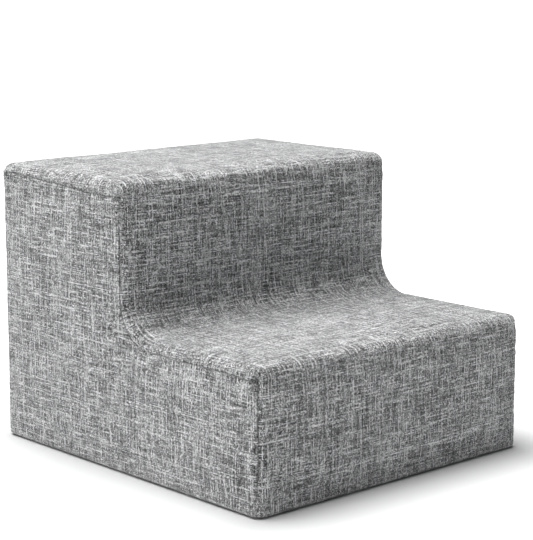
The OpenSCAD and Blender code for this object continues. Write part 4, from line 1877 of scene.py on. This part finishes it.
@dataclass(frozen=True)
class CoverCloth:
    """Heathered linen-look weave of the cover."""

    effects: Effects
    warp_pitch: float = 0.95 * MM
    weft_pitch: float = 1.1 * MM
    slub: float = 21 * MM
    light: Colour = grey(0.95, 0.006)
    dark: Colour = grey(0.025, 0.02)

    def build(self, name: str, seed: float) -> Material:
        """Makes the material.

        Args:
            name: The finish's name.
            seed: Sets this panel's yarns apart from the others.

        Returns:
            The material.
        """
        material, w, shader = new_finish(name)
        weave = w.grouped(self.effects.weave, Threads=w.threads(), Warp_Pitch=self.warp_pitch,
                          Weft_Pitch=self.weft_pitch, Slub_Length=self.slub, Streak=0.8, Drift=0.9 * MM,
                          Light_Yarn=self.light, Dark_Yarn=self.dark, Seed=seed)
        handled = self.effects.handled(w, weave.outputs["Colour"], uneven=0.05, dust=0.05, height=25 * MM)
        lint = self.effects.linted(w, handled, amount=0.08, fibre=grey(0.85))
        # Painted shade along the seams' grooves.
        seam = self.effects.painted_seam_shade(w, lint.outputs["Colour"], reach=0.9 * MM, depth=0.42)
        w.paint(shader, seam, w.stretch(weave.outputs["Light"], 0.0, 1.0, 0.94, 0.82))
        shader.inputs["Sheen Weight"].default_value = 0.28
        shader.inputs["Sheen Roughness"].default_value = 0.55
        shader.inputs["Specular IOR Level"].default_value = 0.25
        yarns = add_bump(w, shader, weave.outputs["Height"], 0.32 * MM, 0.75)
        add_bump(w, shader, lint.outputs["Height"], 0.06 * MM, 0.4, yarns)
        return material


@dataclass(frozen=True)
class BaseCloth:
    """Dark spunbond base cloth with a pressed lozenge pattern."""

    effects: Effects
    colour: Colour = grey(0.028, 0.03)
    # Lighter grey for the raised parts, as painted light.
    high: Colour = grey(0.06, 0.03)
    lozenge: float = 1.8 * MM

    def build(self) -> Material:
        """Makes the material."""
        material, w, shader = new_finish("base spunbond")
        u, v, _ = w.split(w.threads())
        sum_uv, gap_uv = w.plus(u, v), w.minus(u, v)
        wave = 2 * HALF_TURN / self.lozenge
        pressed = w.times(w.math("SINE", w.times(sum_uv, wave)), w.math("SINE", w.times(gap_uv, wave)))
        fibres = w.noise(w.spot(), 900.0, 4.0, 0.7)
        height = w.plus(w.stretch(pressed, -0.2, 0.7), w.times(fibres, 0.6))
        # Painted shade: the colour follows the height, darker where the cloth is pressed low and lighter
        # where it stands high.
        colour = w.blend(w.stretch(height, 0.2, 1.4), self.colour, self.high)
        handled = self.effects.handled(w, colour, uneven=0.12, dust=0.12, height=8 * MM)
        lint = self.effects.linted(w, handled, amount=0.1, fibre=grey(0.3))
        # Painted shade along the seams' grooves.
        seam = self.effects.painted_seam_shade(w, lint.outputs["Colour"], reach=1.5 * MM, depth=0.5)
        w.paint(shader, seam, w.stretch(fibres, 0.3, 0.7, 0.78, 0.95))
        add_bump(w, shader, height, 0.15 * MM, 0.8)
        return material


@dataclass(frozen=True)
class GripRubber:
    """Soft grey rubber of the grip dots."""

    effects: Effects
    colour: Colour = grey(0.10, 0.02)

    def build(self) -> Material:
        """Makes the material."""
        material, w, shader = new_finish("grip rubber")
        grain = w.noise(w.spot(), 3500.0, 3.0, 0.6)
        scuffs = w.noise(w.spot(), 260.0, 4.0, 0.65)
        scuffed = w.blend(w.stretch(scuffs, 0.5, 0.7), self.colour, grey(0.2))
        handled = self.effects.handled(w, scuffed, uneven=0.08, dust=0.3, height=1 * MM)
        w.paint(shader, handled, w.stretch(scuffs, 0.35, 0.65, 0.42, 0.72))
        add_bump(w, shader, grain, 0.04 * MM, 0.6)
        return material


@dataclass(frozen=True)
class OpenFoam:
    """Cream upholstery foam with open cells."""

    effects: Effects
    colour: Colour = (0.82, 0.75, 0.56, 1.0)
    pore_shade_colour: Colour = (0.50, 0.42, 0.26, 1.0)

    def build(self) -> Material:
        """Makes the material."""
        material, w, shader = new_finish("open foam")
        cells = w.node("ShaderNodeTexVoronoi", feature="F1")
        w.feed(cells.inputs["Vector"], w.spot())
        cells.inputs["Scale"].default_value = 900.0
        large = w.node("ShaderNodeTexVoronoi", feature="F1")
        w.feed(large.inputs["Vector"], w.spot())
        large.inputs["Scale"].default_value = 320.0
        # Painted shade: darker colour at the pores, where shade falls in the open cells.
        pores = w.times(w.stretch(cells.outputs["Distance"], 0.1, 0.5),
                        w.stretch(large.outputs["Distance"], 0.1, 0.35, 0.4, 1.0))
        colour = w.blend(pores, self.pore_shade_colour, self.colour)
        handled = self.effects.handled(w, colour, uneven=0.07)
        lint = self.effects.linted(w, handled, amount=0.08, fibre=(0.9, 0.85, 0.7, 1.0))
        w.paint(shader, lint.outputs["Colour"], w.stretch(pores, 0.0, 1.0, 0.98, 0.86))
        shader.inputs["Subsurface Weight"].default_value = 0.12
        shader.inputs["Subsurface Scale"].default_value = 2 * MM
        add_bump(w, shader, pores, 0.4 * MM, 0.9)
        return material


@dataclass(frozen=True)
class Adhesive:
    """Amber adhesive film between the foam blocks."""

    effects: Effects
    colour: Colour = (0.62, 0.44, 0.20, 1.0)

    def build(self) -> Material:
        """Makes the material."""
        material, w, shader = new_finish("adhesive film")
        blobs = w.noise(w.spot(), 180.0, 4.0, 0.6)
        colour = w.blend(w.stretch(blobs, 0.35, 0.65), self.colour, (0.78, 0.62, 0.36, 1.0))
        handled = self.effects.handled(w, colour, uneven=0.1)
        w.paint(shader, handled, w.stretch(blobs, 0.3, 0.7, 0.25, 0.5))
        add_bump(w, shader, blobs, 0.3 * MM, 0.6)
        return material


@dataclass(frozen=True)
class SewingThread:
    """Twisted polyester sewing thread."""

    effects: Effects
    colour: Colour
    lay: float = 1.1 * MM

    def build(self, name: str) -> Material:
        """Makes the material."""
        material, w, shader = new_finish(name)
        # Painted shade: a darker copy of the thread's colour for the grooves between its plies.
        groove_shade = tuple(0.35 * part for part in self.colour[:3]) + (1.0,)
        twist = self.effects.twisted(w, self.colour, groove_shade, lay=self.lay, plies=3.0)
        lint = self.effects.linted(w, twist.outputs["Colour"], amount=0.2, fibre=grey(0.5))
        w.paint(shader, lint.outputs["Colour"], w.stretch(twist.outputs["Height"], 0.0, 1.0, 0.75, 0.5))
        shader.inputs["Sheen Weight"].default_value = 0.15
        add_bump(w, shader, twist.outputs["Height"], 0.09 * MM, 0.8)
        return material


@dataclass(frozen=True)
class ZipTape:
    """Grey woven zip tape with a herringbone rib."""

    effects: Effects
    colour: Colour = grey(0.075, 0.02)
    # Lighter grey for the rib tops, as painted light.
    high: Colour = grey(0.15, 0.02)

    def build(self) -> Material:
        """Makes the material."""
        material, w, shader = new_finish("zip tape weave")
        u, v, _ = w.split(w.threads())
        fold = w.math("PINGPONG", v, 2.0 * MM)
        slant = w.plus(u, w.times(fold, 0.9))
        rib = w.math("ABSOLUTE", w.math("SINE", w.times(slant, HALF_TURN / (0.6 * MM))))
        # Painted shade: darker between the ribs and lighter on their tops.
        colour = w.blend(rib, self.colour, self.high)
        lint = self.effects.linted(w, colour, amount=0.15, fibre=grey(0.35))
        w.paint(shader, lint.outputs["Colour"], w.stretch(rib, 0.0, 1.0, 0.9, 0.7))
        add_bump(w, shader, rib, 0.12 * MM, 0.8)
        return material


@dataclass(frozen=True)
class CoilNylon:
    """Dark nylon wire of the zip's coils."""

    effects: Effects
    colour: Colour = grey(0.045, 0.03)

    def build(self) -> Material:
        """Makes the material."""
        material, w, shader = new_finish("coil nylon")
        # Painted shade: a slightly darker grey in the grooves between the wire's ribs.
        twist = self.effects.twisted(w, self.colour, grey(0.035, 0.03), lay=0.4 * MM, plies=0.0)
        streaks = w.noise(w.spot(), 1400.0, 3.0, 0.6)
        handled = self.effects.handled(w, twist.outputs["Colour"], uneven=0.12, dust=0.05, height=60 * MM)
        w.paint(shader, handled, w.stretch(streaks, 0.3, 0.7, 0.25, 0.45))
        add_bump(w, shader, twist.outputs["Height"], 0.02 * MM, 0.3)
        return material


@dataclass(frozen=True)
class CastMetal:
    """Plated cast metal of the slider and the pull tab."""

    effects: Effects
    colour: Colour
    worn: Colour

    def build(self, name: str) -> Material:
        """Makes the material."""
        material, w, shader = new_finish(name)
        wear = w.grouped(self.effects.metal_wear, Place=w.spot(), Colour=self.colour, Worn_Colour=self.worn,
                         Scratch=0.5)
        handled = self.effects.handled(w, wear.outputs["Colour"], uneven=0.06)
        w.paint(shader, handled, wear.outputs["Roughness"])
        shader.inputs["Metallic"].default_value = 1.0
        add_bump(w, shader, wear.outputs["Height"], 0.02 * MM, 0.35)
        return material


def dress(piece: Object, material: Material) -> None:
    """Gives a piece its only finish."""
    if len(piece.material_slots) == 0:
        piece.data.materials.append(material)
    for slot in piece.material_slots:
        slot.material = material


# ---- Studio ----


@dataclass(frozen=True)
class Softbox:
    """One soft lamp: its place, what it points at, its size and its power."""

    name: str
    place: tuple[float, float, float]
    aim: tuple[float, float, float]
    size: float
    power: float

    def build(self) -> Object:
        """Hangs the lamp."""
        lamp = bpy.data.lights.new(self.name, "AREA")
        lamp.shape = "SQUARE"
        lamp.size = self.size
        lamp.energy = self.power
        made = in_scene(self.name, lamp)
        made.location = self.place
        made.rotation_euler = (Vector(self.aim) - Vector(self.place)).to_track_quat("-Z", "Y").to_euler()
        return made


@dataclass
class Studio:
    """The floor, the lamps and the camera."""

    azimuth: float = -42.334
    elevation: float = 10.427
    distance: float = 1949.1 * MM
    target: tuple[float, float, float] = (7.5 * MM, -4.6 * MM, 190.4 * MM)
    lens: float = 119.69
    floor_half: float = 9.0
    floor_lines: int = 13
    floor_drop: float = 0.1 * MM
    floor_glow_reach: float = 0.26
    bounce: Colour = grey(0.85)
    wall: float = 1.05
    fill: float = 0.12
    lamps: list[Softbox] = field(default_factory=lambda: [
        Softbox("overhead softbox", (-0.3, 0.5, 2.6), (0.0, 0.0, 0.2), 2.2, 130.0),
        Softbox("left softbox", (-2.6, -0.3, 1.2), (0.0, 0.0, 0.15), 1.6, 13.0),
    ])

    def camera(self) -> Object:
        """Places the camera."""
        data = bpy.data.cameras.new("studio camera")
        data.lens = self.lens
        data.clip_end = 50.0
        made = in_scene("studio camera", data)
        turn, rise = math.radians(self.azimuth), math.radians(self.elevation)
        aim = Vector(self.target)
        away = Vector((math.sin(turn) * math.cos(rise), -math.cos(turn) * math.cos(rise), math.sin(rise)))
        made.location = aim + away * self.distance
        made.rotation_euler = (-away).to_track_quat("-Z", "Y").to_euler()
        bpy.context.scene.camera = made
        return made

    def floor(self) -> Object:
        """Lays the pale floor. Seen from the camera it glows with painted light, more the further it lies
        from the stair's footprint, so only the floor near the stair keeps its shade. Other rays see a plain
        pale diffuse floor.
        """
        line = np.linspace(-self.floor_half, self.floor_half, self.floor_lines)
        rows, cols = np.meshgrid(line, line, indexing="ij")
        points = np.column_stack([cols.ravel(), rows.ravel(), np.full(rows.size, -self.floor_drop)])
        made = add_object("studio_floor", points, grid_cells(*rows.shape).reshape(-1, 4))
        material, w, shader = new_finish("studio floor")
        cloud = w.noise(w.spot(), 3.0, 3.0, 0.5)
        w.feed(shader.inputs["Base Color"], w.blend(cloud, grey(0.62), grey(0.66)))
        shader.inputs["Roughness"].default_value = 0.9
        shader.inputs["Specular IOR Level"].default_value = 0.1
        # Painted light: seen from the camera, the floor glows more the further it lies from the stair's
        # footprint.
        x, y, _ = w.split(w.spot())
        footprint = StairSizes.from_frame()
        out_x = w.math("MAXIMUM", w.minus(w.math("ABSOLUTE", x), footprint.half_width), 0.0)
        out_y = w.math("MAXIMUM", w.minus(w.math("ABSOLUTE", y), footprint.back), 0.0)
        away = w.math("SQRT", w.plus(w.times(out_x, out_x), w.times(out_y, out_y)))
        glow = w.stretch(away, 0.0, self.floor_glow_reach)
        w.feed(shader.inputs["Emission Color"], w.blend(glow, grey(0.0), grey(1.0)))
        shader.inputs["Emission Strength"].default_value = 1.0
        dim = w.node("ShaderNodeBsdfDiffuse")
        dim.inputs["Color"].default_value = self.bounce
        seen = w.node("ShaderNodeLightPath").outputs["Is Camera Ray"]
        mix = w.node("ShaderNodeMixShader")
        w.feed(mix.inputs[0], seen)
        w.feed(mix.inputs[1], dim.outputs[0])
        w.feed(mix.inputs[2], shader.outputs[0])
        output = next(n for n in material.node_tree.nodes if n.type == "OUTPUT_MATERIAL")
        w.feed(output.inputs["Surface"], mix.outputs[0])
        dress(made, material)
        return made

    def room(self) -> None:
        """Sets the room's own light, white behind the object and soft grey on it."""
        world = bpy.data.worlds.new("studio room")
        bpy.context.scene.world = world
        world.use_nodes = True
        world.node_tree.nodes.clear()
        w = Wiring(world.node_tree)
        wall, fill = w.node("ShaderNodeBackground"), w.node("ShaderNodeBackground")
        wall.inputs["Color"].default_value = grey(1.0)
        wall.inputs["Strength"].default_value = self.wall
        fill.inputs["Color"].default_value = grey(1.0, 0.03)
        fill.inputs["Strength"].default_value = self.fill
        mix = w.node("ShaderNodeMixShader")
        w.feed(mix.inputs[0], w.node("ShaderNodeLightPath").outputs["Is Camera Ray"])
        w.feed(mix.inputs[1], fill.outputs[0])
        w.feed(mix.inputs[2], wall.outputs[0])
        w.feed(w.node("ShaderNodeOutputWorld").inputs["Surface"], mix.outputs[0])

    def build(self) -> None:
        """Sets up the whole studio."""
        self.camera()
        self.floor()
        self.room()
        for lamp in self.lamps:
            lamp.build()
        bpy.context.scene.view_settings.view_transform = "Standard"


# ---- The whole stair ----


def build_stair() -> None:
    """Builds and dresses every piece in order."""
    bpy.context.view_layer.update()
    studio = Studio()
    studio.build()
    effects = Effects()
    skin = Skin(StairSizes.from_frame(), SeamPlan())
    cover = Cover(skin, SeamPull())
    Inflation(cover).run()

    cloth = CoverCloth(effects)
    strip = TreadStrip(cover).build()
    dress(strip, cloth.build("cover weave of the tread strip", 0.0))
    LOG.info("tread strip: %d faces", len(strip.data.polygons))
    for k, side in enumerate(Side):
        panel = SidePanel(cover, side).build()
        dress(panel, cloth.build(f"cover weave of the {side.word} side", 40.0 + 30.0 * k))
        LOG.info("%s side panel: %d faces", side.word, len(panel.data.polygons))
    for k, part in enumerate(BackPart):
        panel = BackPanel(cover, part).build()
        dress(panel, cloth.build(f"cover weave of the {part.name.lower()} at the back", 110.0 + 30.0 * k))
        LOG.info("%s: %d faces", panel.name, len(panel.data.polygons))

    base = GripBase(cover)
    dress(base.build_cloth(), BaseCloth(effects).build())
    dress(base.build_dots(), GripRubber(effects).build())
    LOG.info("base cloth and grip dots")

    foam = OpenFoam(effects).build()
    for part in FoamPart:
        block = FoamBlock(cover, part).build()
        dress(block, foam)
        LOG.info("%s: %d faces", block.name, len(block.data.polygons))
    dress(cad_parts["foam_bond_film"], Adhesive(effects).build())

    seam_thread = SewingThread(effects, grey(0.22, 0.02)).build("seam thread")
    threads = SeamThreads(cover)
    for name in cover.seams:
        dress(threads.build(name), seam_thread)
    LOG.info("seam threads")

    zip_parts = Zip(cover)
    tape, coil = ZipTape(effects).build(), CoilNylon(effects).build()
    top_thread = SewingThread(effects, grey(0.30, 0.01)).build("top stitching thread")
    for row in Row:
        dress(zip_parts.tape(row), tape)
        dress(zip_parts.coil(row), coil)
        dress(zip_parts.stitches(row), top_thread)
    dress(zip_parts.tacks(), top_thread)
    slider = zip_parts.soften("zip_slider", 0.22 * MM)
    dress(slider, CastMetal(effects, grey(0.40, 0.01), grey(0.62)).build("slider plating"))
    tab = zip_parts.soften("zip_pull_tab", 0.28 * MM)
    dress(tab, CastMetal(effects, grey(0.46, 0.01), grey(0.68)).build("pull tab plating"))
    LOG.info("zip")


def main() -> None:
    """Sets up the log and builds the stair."""
    logging.basicConfig(level=logging.INFO, format="%(name)s: %(message)s")
    build_stair()


if __name__ == "__main__":
    main()
